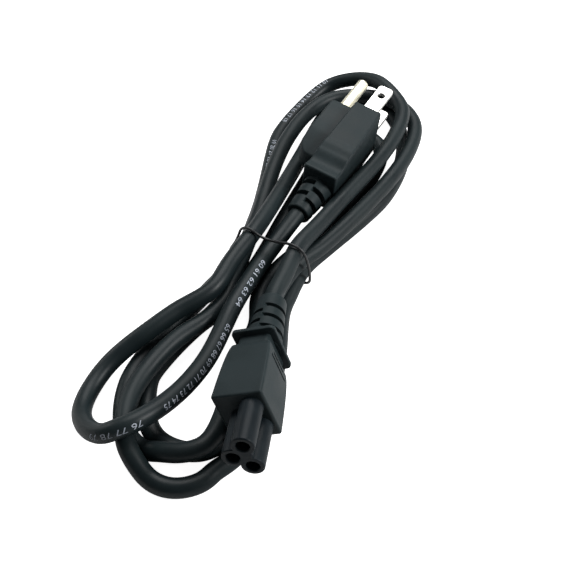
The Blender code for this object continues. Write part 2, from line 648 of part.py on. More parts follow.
def make_contact(name, y, z, place, material):
    """A metal sleeve seated inside a socket."""
    end = NOSE_LENGTH - CONTACT_SETBACK
    outer = SOCKET_DIAMETER / 2 - SEAT_GAP
    sleeve_mesh = rod_mesh(name, end - CONTACT_LENGTH, end, outer, outer, 20, (y, z))
    sleeve = place_object(name, sleeve_mesh, MODEL, place, material)
    bore_mesh = rod_mesh(name + "_bore", end - CONTACT_LENGTH - CUT_OVERRUN, end + CUT_OVERRUN, CONTACT_BORE / 2,
                         CONTACT_BORE / 2, 16, (y, z))
    join_or_cut(sleeve, place_object(name + "_bore", bore_mesh, TOOLS, place), 'DIFFERENCE')
    return sleeve


def lay_matrix(face, heading, pitch, roll):
    """The axes of a moulding as they lie on the hank."""
    turn = (Matrix.Rotation(math.pi / 2 - heading, 4, 'Z') @ Matrix.Rotation(-pitch, 4, 'Y')
            @ Matrix.Rotation(roll, 4, 'X'))
    return Matrix.Translation(face) @ turn


def cord_route():
    """The whole route, from the connector's relief to the plug's."""
    connector = lay_matrix(CONNECTOR_FACE, CONNECTOR_HEADING, CONNECTOR_PITCH, CONNECTOR_ROLL)
    plug = lay_matrix(PLUG_FACE, PLUG_HEADING, PLUG_PITCH, PLUG_ROLL)
    start = SHELL_LENGTH + NECK_LENGTH + FLANGE_THICKNESS + CONNECTOR_RELIEF_LENGTH + SEAT_GAP
    end = PLUG_LENGTH + PLUG_RELIEF_LENGTH + SEAT_GAP
    points = [connector @ Vector((-start, 0, 0)), connector @ Vector((-start - CORD_STRAIGHT_LEAD, 0, 0))]
    points += [Vector(point) for point in ROUTE]
    points += [plug @ Vector((-end - CORD_STRAIGHT_LEAD, 0, 0)), plug @ Vector((-end, 0, 0))]
    return [tuple(point) for point in points]


clear_scene()
MODEL = make_collection("power_cord")
TOOLS = make_collection("power_cord_tools")

cord_pvc = make_material("cord_pvc", (0.035, 0.040, 0.045), 0.45)
moulded_pvc = make_material("moulded_pvc", (0.045, 0.052, 0.056), 0.50)
insert_plastic = make_material("insert_plastic", (0.030, 0.035, 0.038), 0.40)
nickel_plate = make_material("nickel_plate", (0.80, 0.80, 0.78), 0.25, 1.0)
pin_brass = make_material("pin_brass", (0.86, 0.82, 0.62), 0.30, 1.0)
tie_wire = make_material("tie_wire", (0.020, 0.022, 0.024), 0.40)

hank = bpy.data.objects.new("hank", None)
MODEL.objects.link(hank)
hank.location = [-value for value in HANK_CENTRE]

plug_place = make_place("plug_place", hank, PLUG_FACE, PLUG_HEADING, PLUG_PITCH, PLUG_ROLL)
connector_place = make_place("connector_place", hank, CONNECTOR_FACE, CONNECTOR_HEADING, CONNECTOR_PITCH,
                             CONNECTOR_ROLL)

make_plug_body(plug_place, moulded_pvc)
make_blade("blade_line", 1, plug_place, nickel_plate)
make_blade("blade_neutral", -1, plug_place, nickel_plate)
make_ground_pin(plug_place, pin_brass)

make_connector_body(connector_place, moulded_pvc)
make_connector_insert(connector_place, insert_plastic)
for socket, y, z in socket_places():
    make_contact("contact_" + socket, y, z, connector_place, nickel_plate)

route = cord_route()
cord_points = thin_out(smooth_curve(route, CURVE_SAMPLES), CORD_TUBE_POINTS)
cord_points = [route[0], route[1], *cord_points[1:-1], route[-2], route[-1]]
tube("cord", cord_points, CORD_DIAMETER / 2, CORD_TUBE_RESOLUTION, False, hank, cord_pvc)

tie_line = smooth_curve(TIE_ROUTE, CURVE_SAMPLES, closed=True)
tie_points = thin_out(tie_line, TIE_TUBE_POINTS + 1)[:-1]
tube("cord_tie", tie_points, TIE_DIAMETER / 2, 2, True, hank, tie_wire)
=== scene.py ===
"""The looks of a moulded power cord that lies folded in a tied hank.

The pieces are surfaces worked out with numpy: rings of points across an
axis, or a section carried along a path. The printed numbers are text, bent
round the cord. Lengths are in metres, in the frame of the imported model, with
the floor at Z = 0.
"""

import logging
import math
from dataclasses import dataclass, field
from enum import Enum

import bmesh
import bpy
import numpy as np
from mathutils import Matrix, Vector


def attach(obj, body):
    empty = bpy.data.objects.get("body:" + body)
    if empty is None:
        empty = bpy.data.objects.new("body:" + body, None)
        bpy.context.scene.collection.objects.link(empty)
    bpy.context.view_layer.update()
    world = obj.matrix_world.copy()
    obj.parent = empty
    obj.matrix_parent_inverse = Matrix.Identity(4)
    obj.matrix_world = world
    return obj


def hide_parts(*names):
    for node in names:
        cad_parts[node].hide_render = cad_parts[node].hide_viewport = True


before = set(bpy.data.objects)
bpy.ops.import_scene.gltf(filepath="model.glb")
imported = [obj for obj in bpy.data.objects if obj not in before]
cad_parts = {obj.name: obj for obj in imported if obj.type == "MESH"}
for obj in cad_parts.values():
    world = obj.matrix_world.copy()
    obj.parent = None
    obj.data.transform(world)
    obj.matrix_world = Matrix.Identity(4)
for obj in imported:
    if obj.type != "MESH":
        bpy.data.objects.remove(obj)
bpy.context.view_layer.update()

# Short names for types
Array = np.ndarray
Triple = tuple[float, float, float]
Thing = bpy.types.Object
Tree = bpy.types.NodeTree
Node = bpy.types.Node
Material = bpy.types.Material

LOG = logging.getLogger("power_cord")
BODY = "root"

# Angles in degrees past which an edge is shaded sharp
MOULDED_SHARP = 40.0
CUT_SHARP = 35.0
BLADE_SHARP = 50.0

# Rounded rectangles: the least corner radius, and the largest as a share of the smaller half side
SMALLEST_RADIUS = 0.00004
LARGEST_CORNER = 0.98
CORNER_STEPS = 7
NEAR_CORNER = 0.05
EDGE_STEPS = 5
ROUND_STEPS = 48

# The numbers of the colour sockets on a mix node
MIX_A = 6
MIX_B = 7
MIX_RESULT = 2

# The point of the hank that stands over the model's origin
HANK_CENTRE = np.array((-0.0093, 0.01611, 0.0))

# The cord's way through the hank, from behind the connector to behind the plug
ROUTE = (
    (0.0025, -0.009, 0.0166), (0.002, 0.004, 0.017), (0.004, 0.0175, 0.016),
    (0.008, 0.04, 0.0154), (0.014, 0.0715, 0.0156), (0.014, 0.0985, 0.0158),
    (0.0095, 0.1085, 0.0158), (0.0005, 0.118, 0.016), (-0.0065, 0.123, 0.0148),
    (-0.015, 0.125, 0.0124), (-0.023, 0.1235, 0.0098), (-0.029, 0.118, 0.0074),
    (-0.036, 0.092, 0.0036), (-0.035, 0.075, 0.0033), (-0.0265, 0.04, 0.0032),
    (-0.023, 0.02, 0.0036), (-0.021, 0.005, 0.0048), (-0.0235, -0.008, 0.0036),
    (-0.0275, -0.026, 0.0032), (-0.0315, -0.0455, 0.0032), (-0.032, -0.0605, 0.0032),
    (-0.0285, -0.072, 0.0032), (-0.023, -0.08, 0.0032), (-0.0145, -0.0845, 0.0046),
    (-0.009, -0.085, 0.007), (-0.0035, -0.0845, 0.0086), (0.002, -0.082, 0.0096),
    (0.005, -0.0765, 0.0098), (0.0035, -0.062, 0.009), (0.0005, -0.054, 0.006),
    (-0.0015, -0.045, 0.0036), (-0.002, -0.035, 0.0032), (-0.0025, -0.0235, 0.0032),
    (-0.006, -0.014, 0.0032), (-0.007, -0.006, 0.0037), (-0.0045, 0.005, 0.0052),
    (0.0, 0.02, 0.0036), (0.004, 0.034, 0.0033), (0.01, 0.0665, 0.0032),
    (0.0085, 0.0885, 0.0032), (0.004, 0.0945, 0.0032), (-0.002, 0.0965, 0.0032),
    (-0.008, 0.095, 0.0032), (-0.0125, 0.089, 0.0032), (-0.014, 0.063, 0.0032),
    (-0.014, 0.0325, 0.0033), (-0.0135, 0.018, 0.0037), (-0.013, 0.005, 0.0048),
    (-0.0145, -0.006, 0.0036), (-0.017, -0.0205, 0.0032), (-0.0215, -0.032, 0.0032),
    (-0.026, -0.0535, 0.0032), (-0.0255, -0.06, 0.0032), (-0.0205, -0.071, 0.0032),
    (-0.014, -0.078, 0.0032), (-0.0055, -0.08, 0.0032), (0.005, -0.0745, 0.0032),
    (0.0055, -0.045, 0.004), (0.003, -0.034, 0.0074), (0.0005, -0.014, 0.0094),
    (0.003, 0.004, 0.0108), (0.0065, 0.013, 0.0102), (0.016, 0.047, 0.0095),
    (0.021, 0.0755, 0.0095), (0.019, 0.1025, 0.0095), (0.0105, 0.114, 0.0094),
    (0.0035, 0.118, 0.0095), (-0.0035, 0.1185, 0.0094), (-0.0175, 0.113, 0.0097),
    (-0.0265, 0.098, 0.0098), (-0.028, 0.063, 0.0096), (-0.0215, 0.0255, 0.0099),
    (-0.0185, 0.006, 0.0109), (-0.0155, -0.018, 0.0096), (-0.0155, -0.026, 0.0096),
    (-0.0175, -0.034, 0.0096), (-0.022, -0.0435, 0.0096), (-0.0255, -0.06, 0.0096),
    (-0.0245, -0.0745, 0.0096), (-0.019, -0.086, 0.0094), (-0.0155, -0.0895, 0.0082),
    (-0.012, -0.0915, 0.006), (-0.0075, -0.093, 0.0038), (0.0, -0.0925, 0.0032),
    (0.0065, -0.0875, 0.0032), (0.0085, -0.083, 0.0032), (0.012, -0.076, 0.0032),
    (0.0135, -0.055, 0.0032), (0.009, -0.033, 0.0032), (0.0035, -0.015, 0.0032),
    (0.003, -0.008, 0.0036), (0.003, 0.004, 0.0045), (0.006, 0.018, 0.0037),
    (0.016, 0.0475, 0.0033), (0.0195, 0.066, 0.0032), (0.017, 0.094, 0.0032),
    (0.006, 0.115, 0.0032), (-0.002, 0.1215, 0.0032), (-0.0115, 0.1225, 0.0032),
    (-0.0185, 0.118, 0.0032), (-0.022, 0.109, 0.0035), (-0.0195, 0.072, 0.009),
    (-0.0165, 0.0305, 0.0142), (-0.016, 0.004, 0.0169), (-0.0175, -0.012, 0.0164),
    (-0.0185, -0.0245, 0.0154), (-0.025, -0.034, 0.0135), (-0.032, -0.0455, 0.011),
    (-0.039, -0.056, 0.0065), (-0.0415, -0.0665, 0.0042), (-0.038, -0.0805, 0.0056),
    (-0.026, -0.0885, 0.0122), (-0.021, -0.0875, 0.0152), (-0.017, -0.084, 0.0161),
    (-0.012, -0.0705, 0.013), (-0.009, -0.049, 0.0108), (-0.0095, -0.0295, 0.0126),
    (-0.0095, -0.0145, 0.0126), (-0.0085, 0.006, 0.012),
)

# The tie's way round the strands
TIE_ROUTE = (
    (-0.0254, 0.0056, 0.0048), (-0.0243, 0.0060, 0.0017), (-0.0210, 0.0056, 0.0006),
    (-0.0090, 0.0048, 0.0006), (0.0030, 0.0040, 0.0006), (0.0064, 0.0036, 0.0017),
    (0.0074, 0.0028, 0.0046), (0.0074, 0.0016, 0.0108), (0.0065, 0.0006, 0.0168),
    (0.0048, 0.0004, 0.0199), (0.0020, 0.0006, 0.0211), (-0.0020, 0.0012, 0.0205),
    (-0.0090, 0.0022, 0.0192), (-0.0135, 0.0030, 0.0200), (-0.0165, 0.0034, 0.0210),
    (-0.0191, 0.0038, 0.0198), (-0.0206, 0.0042, 0.0166), (-0.0228, 0.0048, 0.0110),
)


class Slot(Enum):
    """The record's material slots."""

    MOULDING = "moulding"
    INSERT = "insert"
    JACKET = "cord_jacket"
    BLADE = "blade_metal"
    PIN = "pin_metal"
    CONTACT = "contact_metal"
    TIE = "tie"


Finishes = dict[Slot, Material]


@dataclass(frozen=True)
class Lay:
    """Where a moulding lies: its face, and the way it points.

    Heading is turned from +Y towards +X, pitch lifts the face, and roll turns
    the moulding about its own axis. All three are in degrees.
    """

    face: Triple
    heading: float
    pitch: float
    roll: float

    def place(self, points: Array) -> Array:
        """Carry points from the moulding's axes to the model's.

        Args:
            points: An array whose last axis holds X, Y and Z.

        Returns:
            The same points in the model's frame.
        """
        turn = (Matrix.Rotation(math.pi / 2 - math.radians(self.heading), 3, 'Z')
                @ Matrix.Rotation(-math.radians(self.pitch), 3, 'Y')
                @ Matrix.Rotation(math.radians(self.roll), 3, 'X'))
        return points @ np.array(turn).T + np.array(self.face) - HANK_CENTRE


PLUG_LAY = Lay(face=(0.0039, 0.0771, 0.0223), heading=9.93, pitch=8.13, roll=9.28)
CONNECTOR_LAY = Lay(face=(0.0148, -0.0724, 0.0200), heading=167.05, pitch=4.0, roll=18.87)


def smoothstep(low: float, high: float, value: Array) -> Array:
    """Ease from 0 to 1 as a value goes from low to high, level at both ends."""
    share = np.clip((value - low) / (high - low), 0.0, 1.0)
    return share * share * (3.0 - 2.0 * share)


def blend(start: float, end: float, share: Array) -> Array:
    """Go from start to end as a share goes from 0 to 1."""
    return start + (end - start) * share


def quarter_round(radius: float, steps: int) -> tuple[Array, Array]:
    """Step along a quarter circle, and give how far it lies in from each of its tangents.

    The first falls as r(1 - sin t), and the second grows as r(1 - cos t).

    Args:
        radius: The circle's radius.
        steps: How many steps it takes.

    Returns:
        The first distances and the second.
    """
    angle = np.linspace(0.0, math.pi / 2, steps + 1)
    return radius * (1 - np.sin(angle)), radius * (1 - np.cos(angle))


def draw_in(radius: float, share: Array) -> Array:
    """Draw in by a quarter circle, r(1 - sqrt(1 - share squared)), from a share of 0."""
    return radius * (1 - np.sqrt(1 - np.clip(share, 0.0, 1.0) ** 2))


def full_turn(steps: int) -> Array:
    """Give the angles of evenly spaced points round a circle."""
    return np.linspace(0.0, 2 * math.pi, steps + 1)[:-1]


def arc_lengths(line: Array) -> Array:
    """Give the distance along a line at each of its points."""
    return np.concatenate([[0.0], np.cumsum(np.linalg.norm(np.diff(line, axis=0), axis=1))])


def at_lengths(along: Array, travelled: Array, values: Array) -> Array:
    """Interpolate the vectors of a line's points at distances along it."""
    return np.stack([np.interp(along, travelled, values[:, k]) for k in range(3)], axis=-1)


def smooth_curve(points: Array, samples: int, closed: bool = False) -> Array:
    """Sample a natural cubic curve through points, evenly along its length.

    The knots are spaced by the square root of the distance between points,
    which keeps the curve from bulging where they crowd together. The bends at
    the knots solve one linear system.

    Args:
        points: The points that the curve passes.
        samples: How many points to return.
        closed: Whether the curve comes back to its start.

    Returns:
        An array of samples by 3.
    """
    if closed:
        points = np.vstack([points[-3:], points, points[:4]])
    knots = np.concatenate([[0.0], np.cumsum(np.sqrt(np.linalg.norm(np.diff(points, axis=0), axis=1)))])
    step = np.diff(knots)
    count = len(points)
    inner = np.arange(1, count - 1)
    system = np.eye(count)
    system[inner, inner - 1] = step[:-1]
    system[inner, inner] = 2 * (step[:-1] + step[1:])
    system[inner, inner + 1] = step[1:]
    turns = np.zeros((count, 3))
    turns[1:-1] = 6 * np.diff(np.diff(points, axis=0) / step[:, None], axis=0)
    bend = np.linalg.solve(system, turns)
    first, last = (knots[3], knots[-4]) if closed else (knots[0], knots[-1])
    at = np.linspace(first, last, samples)
    span = np.clip(np.searchsorted(knots, at, side='right') - 1, 0, count - 2)
    width = step[span][:, None]
    ahead = (knots[span + 1] - at)[:, None]
    behind = (at - knots[span])[:, None]
    curve = (bend[span] * ahead ** 3 + bend[span + 1] * behind ** 3) / (6 * width)
    curve += (points[span] / width - bend[span] * width / 6) * ahead
    curve += (points[span + 1] / width - bend[span + 1] * width / 6) * behind
    travelled = arc_lengths(curve)
    return at_lengths(np.linspace(0.0, travelled[-1], samples), travelled, curve)


def line_axes(heading: Array, up: Triple) -> tuple[Array, Array]:
    """Give a side and an upright for each point of a line.

    Args:
        heading: The way that the line goes at each point, never along up.
        up: The direction that each side is square to.

    Returns:
        The side, square to the line and to up, and the upright, square to both.
    """
    heading = heading / np.linalg.norm(heading, axis=1, keepdims=True)
    side = np.cross(heading, np.array(up))
    side /= np.linalg.norm(side, axis=1, keepdims=True)
    return side, np.cross(side, heading)


def tube_rings(line: Array, axes: tuple[Array, Array], radius: Array, turn: Array) -> Array:
    """Set a ring square to a line at each of its points.

    Args:
        line: Points along the line.
        axes: The side and the upright at each point.
        radius: The radius, which may differ with each ring and point.
        turn: The angle of each of a ring's points, from the side towards the upright.

    Returns:
        An array of rings by points by 3.
    """
    side, upright = (each[:, None, :] for each in axes)
    spokes = np.cos(turn)[None, :, None] * side + np.sin(turn)[None, :, None] * upright
    return line[:, None, :] + np.asarray(radius)[..., None] * spokes


def turned_rings(stations: Array, radius: Array, turn: Array,
                 centre: tuple[float, float] = (0.0, 0.0)) -> Array:
    """Set rings across X round a line along it.

    Args:
        stations: The X of each ring.
        radius: The radius of each ring, or of each ring by each point.
        turn: The angle of each of a ring's points, from Y towards Z.
        centre: The line's Y and Z.

    Returns:
        An array of rings by points by 3.
    """
    radius = radius.reshape(len(stations), -1)
    along = np.repeat(stations[:, None], len(turn), axis=1)
    return np.stack([along, centre[0] + radius * np.cos(turn), centre[1] + radius * np.sin(turn)], axis=-1)


def box_rings(stations: Array, half_width: Array, half_height: Array, radius: Array,
              side_steps: int = 2) -> Array:
    """Set rounded rectangles across X, one at each station.

    A corner is a quarter circle round a centre set in by the radius. The
    sides get points close to the corners, so that they stay flat in shading.

    Args:
        stations: The X of each rectangle.
        half_width: Half the width of each, along Y.
        half_height: Half the height of each, along Z.
        radius: The corner radius of each.
        side_steps: How many parts each side is divided into.

    Returns:
        An array of rings by points by 3.
    """
    radius = np.maximum(radius, SMALLEST_RADIUS)
    radius = np.minimum(radius, np.minimum(half_width, half_height) * LARGEST_CORNER)
    corners = []
    for k, (a, b) in enumerate(((1, 1), (-1, 1), (-1, -1), (1, -1))):
        angles = np.radians(90.0 * k + np.linspace(0.0, 90.0, CORNER_STEPS + 1))
        y = a * (half_width - radius)[:, None] + radius[:, None] * np.cos(angles)
        z = b * (half_height - radius)[:, None] + radius[:, None] * np.sin(angles)
        corners.append(np.stack([y, z], axis=-1))
    inner = np.linspace(0.0, 1.0, side_steps + 1)[1:-1]
    shares = np.concatenate([[NEAR_CORNER], inner, [1.0 - NEAR_CORNER]])[None, :, None]
    sections = []
    for k, corner in enumerate(corners):
        start, end = corner[:, -1:, :], corners[(k + 1) % 4][:, :1, :]
        sections += [corner, start + (end - start) * shares]
    section = np.concatenate(sections, axis=1)
    along = np.repeat(stations[:, None, None], section.shape[1], axis=1)
    return np.concatenate([along, section], axis=-1)


def rounded_stations(start: float, end: float, start_radius: float, end_radius: float, middle: Array,
                     steps: int = EDGE_STEPS) -> tuple[Array, Array]:
    """Space stations along a sweep so that both its ends are rounded.

    Near an end the section shrinks by r(1 - sin t) while the station moves by
    r(1 - cos t), so its edge follows a quarter circle.

    Args:
        start: Where the sweep starts.
        end: Where the sweep ends.
        start_radius: The edge radius at the start.
        end_radius: The edge radius at the end.
        middle: Stations between the rounded ends.
        steps: How many steps each rounded edge takes.

    Returns:
        The stations, and how much the section shrinks at each.
    """
    way = math.copysign(1.0, end - start)
    start_inset, start_move = quarter_round(start_radius, steps)
    end_inset, end_move = quarter_round(end_radius, steps)
    stations = np.concatenate([start + way * start_move, middle, end - way * end_move[::-1]])
    return stations, np.concatenate([start_inset, np.zeros(len(middle)), end_inset[::-1]])


def add_object(name: str, data: bpy.types.ID) -> Thing:
    """Make an object of its data and link it to the scene.

    Args:
        name: The object's name.
        data: Its mesh, light or camera.

    Returns:
        The object.
    """
    thing = bpy.data.objects.new(name, data)
    bpy.context.scene.collection.objects.link(thing)
    return thing


def shade(mesh: bpy.types.Mesh, sharp: float) -> None:
    """Shade a mesh smooth, but for edges past an angle in degrees."""
    mesh.shade_smooth()
    mesh.set_sharp_from_angle(angle=math.radians(sharp))


def grid_object(name: str, grid: Array, sharp: float = MOULDED_SHARP, uv: Array | None = None,
                loop: bool = False) -> Thing:
    """Make a mesh object from rings of points.

    Each ring joins the next with four-sided faces, and one face closes each
    end. The faces are turned outwards by the sign of the volume inside.

    Args:
        name: The object's name.
        grid: An array of rings by points by 3. Each ring closes on itself.
        sharp: The angle in degrees past which an edge is shaded sharp.
        uv: An array of rings by points by 2, for the piece's own UV map.
        loop: Whether the last ring joins the first, with no ends.

    Returns:
        The new object.
    """
    rings, around, _ = grid.shape
    ring = np.arange(rings if loop else rings - 1)[:, None]
    point = np.arange(around)[None, :]
    after = (ring + 1) % rings
    beside = (point + 1) % around
    quads = np.stack([ring * around + point, ring * around + beside,
                      after * around + beside, after * around + point], axis=-1).reshape(-1, 4)
    points = grid.reshape(-1, 3)
    faces = quads.tolist()
    if not loop:
        faces += [point[0, ::-1].tolist(), ((rings - 1) * around + point[0]).tolist()]
    a, b, c, d = (points[quads[:, k]] for k in range(4))
    volume = np.einsum('ij,ij->', a - points.mean(axis=0), np.cross(b - a, c - a) + np.cross(c - a, d - a))
    if volume < 0:
        faces = [face[::-1] for face in faces]
    mesh = bpy.data.meshes.new(name)
    mesh.from_pydata(points, [], faces)
    if uv is not None:
        layer = mesh.uv_layers.new(name="surface")
        corners = np.zeros(len(mesh.loops), dtype=np.int32)
        mesh.loops.foreach_get("vertex_index", corners)
        layer.data.foreach_set("uv", uv.reshape(-1, 2)[corners].astype(np.float32).ravel())
    shade(mesh, sharp)
    mesh.update()
    return add_object(name, mesh)


def mesh_points(mesh: bpy.types.Mesh) -> Array:
    """Read a mesh's vertices.

    Args:
        mesh: The mesh.

    Returns:
        Points by 3.
    """
    places = np.zeros(len(mesh.vertices) * 3, dtype=np.float32)
    mesh.vertices.foreach_get("co", places)
    return places.reshape(-1, 3).astype(float)


def join_objects(name: str, things: list[Thing]) -> Thing:
    """Join closed shells of one moulding into one object.

    Args:
        name: The joined object's name.
        things: The objects to join. They are removed.

    Returns:
        The joined object.
    """
    points, faces, start = [], [], 0
    for thing in things:
        points.append(mesh_points(thing.data))
        faces += [[start + index for index in face.vertices] for face in thing.data.polygons]
        start += len(points[-1])
        bpy.data.objects.remove(thing, do_unlink=True)
    mesh = bpy.data.meshes.new(name)
    mesh.from_pydata(np.vstack(points), [], faces)
    shade(mesh, MOULDED_SHARP)
    return add_object(name, mesh)


def cut_holes(thing: Thing, tools: list[Thing]) -> None:
    """Cut tools out of an object and keep the result as its mesh.

    Args:
        thing: The object to cut.
        tools: The cutters. They are removed.
    """
    for tool in tools:
        cut = thing.modifiers.new("cut", 'BOOLEAN')
        cut.operation = 'DIFFERENCE'
        cut.solver = 'EXACT'
        cut.object = tool
    bpy.context.view_layer.update()
    evaluated = thing.evaluated_get(bpy.context.evaluated_depsgraph_get())
    mesh = bpy.data.meshes.new_from_object(evaluated)
    thing.modifiers.clear()
    thing.data = mesh
    for tool in tools:
        bpy.data.objects.remove(tool, do_unlink=True)
    shade(mesh, CUT_SHARP)


def set_inputs(node: Node, values: dict[str | int, object]) -> None:
    """Set the values of a node's inputs, by name or number."""
    for key, value in values.items():
        node.inputs[key].default_value = value


def add_node(tree: Tree, kind: str, values: dict[str | int, object] | None = None,
             **settings: object) -> Node:
    """Add a shader node.

    Args:
        tree: The tree that gets it.
        kind: Its type, without the prefix that all shader nodes share.
        values: The value of each input, by name or number.
        settings: The value of each property.

    Returns:
        The node.
    """
    node = tree.nodes.new("ShaderNode" + kind)
    for key, value in settings.items():
        setattr(node, key, value)
    set_inputs(node, values or {})
    return node


def link(tree: Tree, *wires: tuple) -> None:
    """Join sockets: each wire is a node, its output, the next node and its input."""
    for source, output, target, entry in wires:
        tree.links.new(source.outputs[output], target.inputs[entry])


def new_group(name: str, inputs: dict[str, float], output: str) -> tuple[Tree, Node, Node]:
    """Start a shader node group with a Vector input and named number inputs.

    Args:
        name: The group's name.
        inputs: The default value of each number input.
        output: The name of its mask or height output.

    Returns:
        The group, its input node and its output node.
    """
    tree = bpy.data.node_groups.new(name, 'ShaderNodeTree')
    tree.interface.new_socket("Vector", in_out='INPUT', socket_type='NodeSocketVector')
    for key, value in inputs.items():
        tree.interface.new_socket(key, in_out='INPUT', socket_type='NodeSocketFloat').default_value = value
    tree.interface.new_socket(output, in_out='OUTPUT', socket_type='NodeSocketFloat')
    return tree, tree.nodes.new('NodeGroupInput'), tree.nodes.new('NodeGroupOutput')


def grain_group() -> Tree:
    """Build the fine grain that a spark-eroded mould leaves.

    Its height is a fine noise plus 0.6 of a noise four times as coarse.

    Returns:
        The node group.
    """
    tree, source, target = new_group("moulded_grain", {"Scale": 3000.0}, "Height")
    fine = add_node(tree, 'TexNoise', {'Detail': 2.0})
    coarse = add_node(tree, 'TexNoise', {'Detail': 1.0})
    quarter = add_node(tree, 'Math', {1: 0.25}, operation='MULTIPLY')
    total = add_node(tree, 'Math', {1: 0.6}, operation='MULTIPLY_ADD')
    link(tree, (source, 'Vector', fine, 'Vector'), (source, 'Vector', coarse, 'Vector'),
         (source, 'Scale', fine, 'Scale'), (source, 'Scale', quarter, 0), (quarter, 0, coarse, 'Scale'),
         (coarse, 'Fac', total, 0), (fine, 'Fac', total, 2), (total, 0, target, 'Height'))
    return tree


def handling_group() -> Tree:
    """Build the uneven bloom that hands and packing leave on a surface.

    The mask is a large soft noise eased between two levels, with a little of a
    noise fourteen times as fine over it.

    Returns:
        The node group.
    """
    tree, source, target = new_group("handling", {"Scale": 60.0, "Speckle": 0.25}, "Mask")
    large = add_node(tree, 'TexNoise', {'Detail': 3.0})
    eased = add_node(tree, 'MapRange', {'From Min': 0.36, 'From Max': 0.66}, interpolation_type='SMOOTHSTEP')
    finer = add_node(tree, 'Math', {1: 14.0}, operation='MULTIPLY')
    small = add_node(tree, 'TexNoise', {'Detail': 3.0})
    specks = add_node(tree, 'MapRange', {'From Min': 0.52, 'From Max': 0.74}, interpolation_type='SMOOTHSTEP')
    share = add_node(tree, 'Math', operation='MULTIPLY')
    total = add_node(tree, 'Math', operation='ADD', use_clamp=True)
    link(tree, (source, 'Vector', large, 'Vector'), (source, 'Scale', large, 'Scale'),
         (source, 'Scale', finer, 0), (finer, 0, small, 'Scale'), (source, 'Vector', small, 'Vector'),
         (large, 'Fac', eased, 'Value'), (small, 'Fac', specks, 'Value'), (specks, 'Result', share, 0),
         (source, 'Speckle', share, 1), (eased, 'Result', total, 0), (share, 0, total, 1),
         (total, 0, target, 'Mask'))
    return tree


def drawn_lines_group() -> Tree:
    """Build the faint lines that a die or a rolling mill draws along a surface.

    The height is a noise in coordinates stretched far along one direction.

    Returns:
        The node group.
    """
    tree, source, target = new_group("drawn_lines", {"Scale": 1.0}, "Height")
    lines = add_node(tree, 'TexNoise', {'Detail': 4.0, 'Roughness': 0.65})
    link(tree, (source, 'Vector', lines, 'Vector'), (source, 'Scale', lines, 'Scale'),
         (lines, 'Fac', target, 'Height'))
    return tree


class Effects:
    """The node groups that several finishes share."""

    def __init__(self) -> None:
        """Build each group once."""
        self.grain = grain_group()
        self.handling = handling_group()
        self.lines = drawn_lines_group()


@dataclass(frozen=True)
class Finish:
    """A surface finish: two close colours, two roughnesses and a fine relief.

    The handling mask mixes the colours and the roughnesses. The grain gives
    the relief its height. Drawn lines join it where stretch is set: it scales
    the coordinates along each axis, low along the lines.
    """

    name: str
    colour: Triple
    bloom: Triple
    roughness: tuple[float, float]
    grain_scale: float
    grain_depth: float
    handling_scale: float
    speckle: float = 0.2
    metallic: float = 0.0
    specular: float = 0.5
    stretch: Triple | None = None
    line_depth: float = 0.00001
    from_uv: bool = False

    def material(self, effects: Effects) -> Material:
        """Build the finish as a material.

        Args:
            effects: The shared node groups.

        Returns:
            The material.
        """
        made = bpy.data.materials.new(self.name)
        made.use_nodes = True
        tree = made.node_tree
        shader = tree.nodes["Principled BSDF"]
        set_inputs(shader, {'Metallic': self.metallic, 'Specular IOR Level': self.specular})
        places = add_node(tree, 'TexCoord')
        bloom = add_node(tree, 'Group', {'Scale': self.handling_scale, 'Speckle': self.speckle},
                         node_tree=effects.handling)
        tint = add_node(tree, 'Mix', {MIX_A: (*self.colour, 1.0), MIX_B: (*self.bloom, 1.0)}, data_type='RGBA')
        gloss = add_node(tree, 'MapRange', {'To Min': self.roughness[0], 'To Max': self.roughness[1]})
        grain = add_node(tree, 'Group', {'Scale': self.grain_scale}, node_tree=effects.grain)
        relief = add_node(tree, 'Bump', {'Distance': self.grain_depth})
        link(tree, (places, 'Object', bloom, 'Vector'), (bloom, 'Mask', tint, 0),
             (tint, MIX_RESULT, shader, 'Base Color'), (bloom, 'Mask', gloss, 'Value'),
             (gloss, 'Result', shader, 'Roughness'), (places, 'Object', grain, 'Vector'),
             (grain, 'Height', relief, 'Height'), (relief, 'Normal', shader, 'Normal'))
        if self.stretch is not None:
            axes = add_node(tree, 'Mapping', {'Scale': self.stretch})
            lines = add_node(tree, 'Group', node_tree=effects.lines)
            ridges = add_node(tree, 'Bump', {'Distance': self.line_depth})
            link(tree, (places, 'UV' if self.from_uv else 'Object', axes, 'Vector'),
                 (axes, 'Vector', lines, 'Vector'), (lines, 'Height', ridges, 'Height'),
                 (ridges, 'Normal', relief, 'Normal'))
        return made


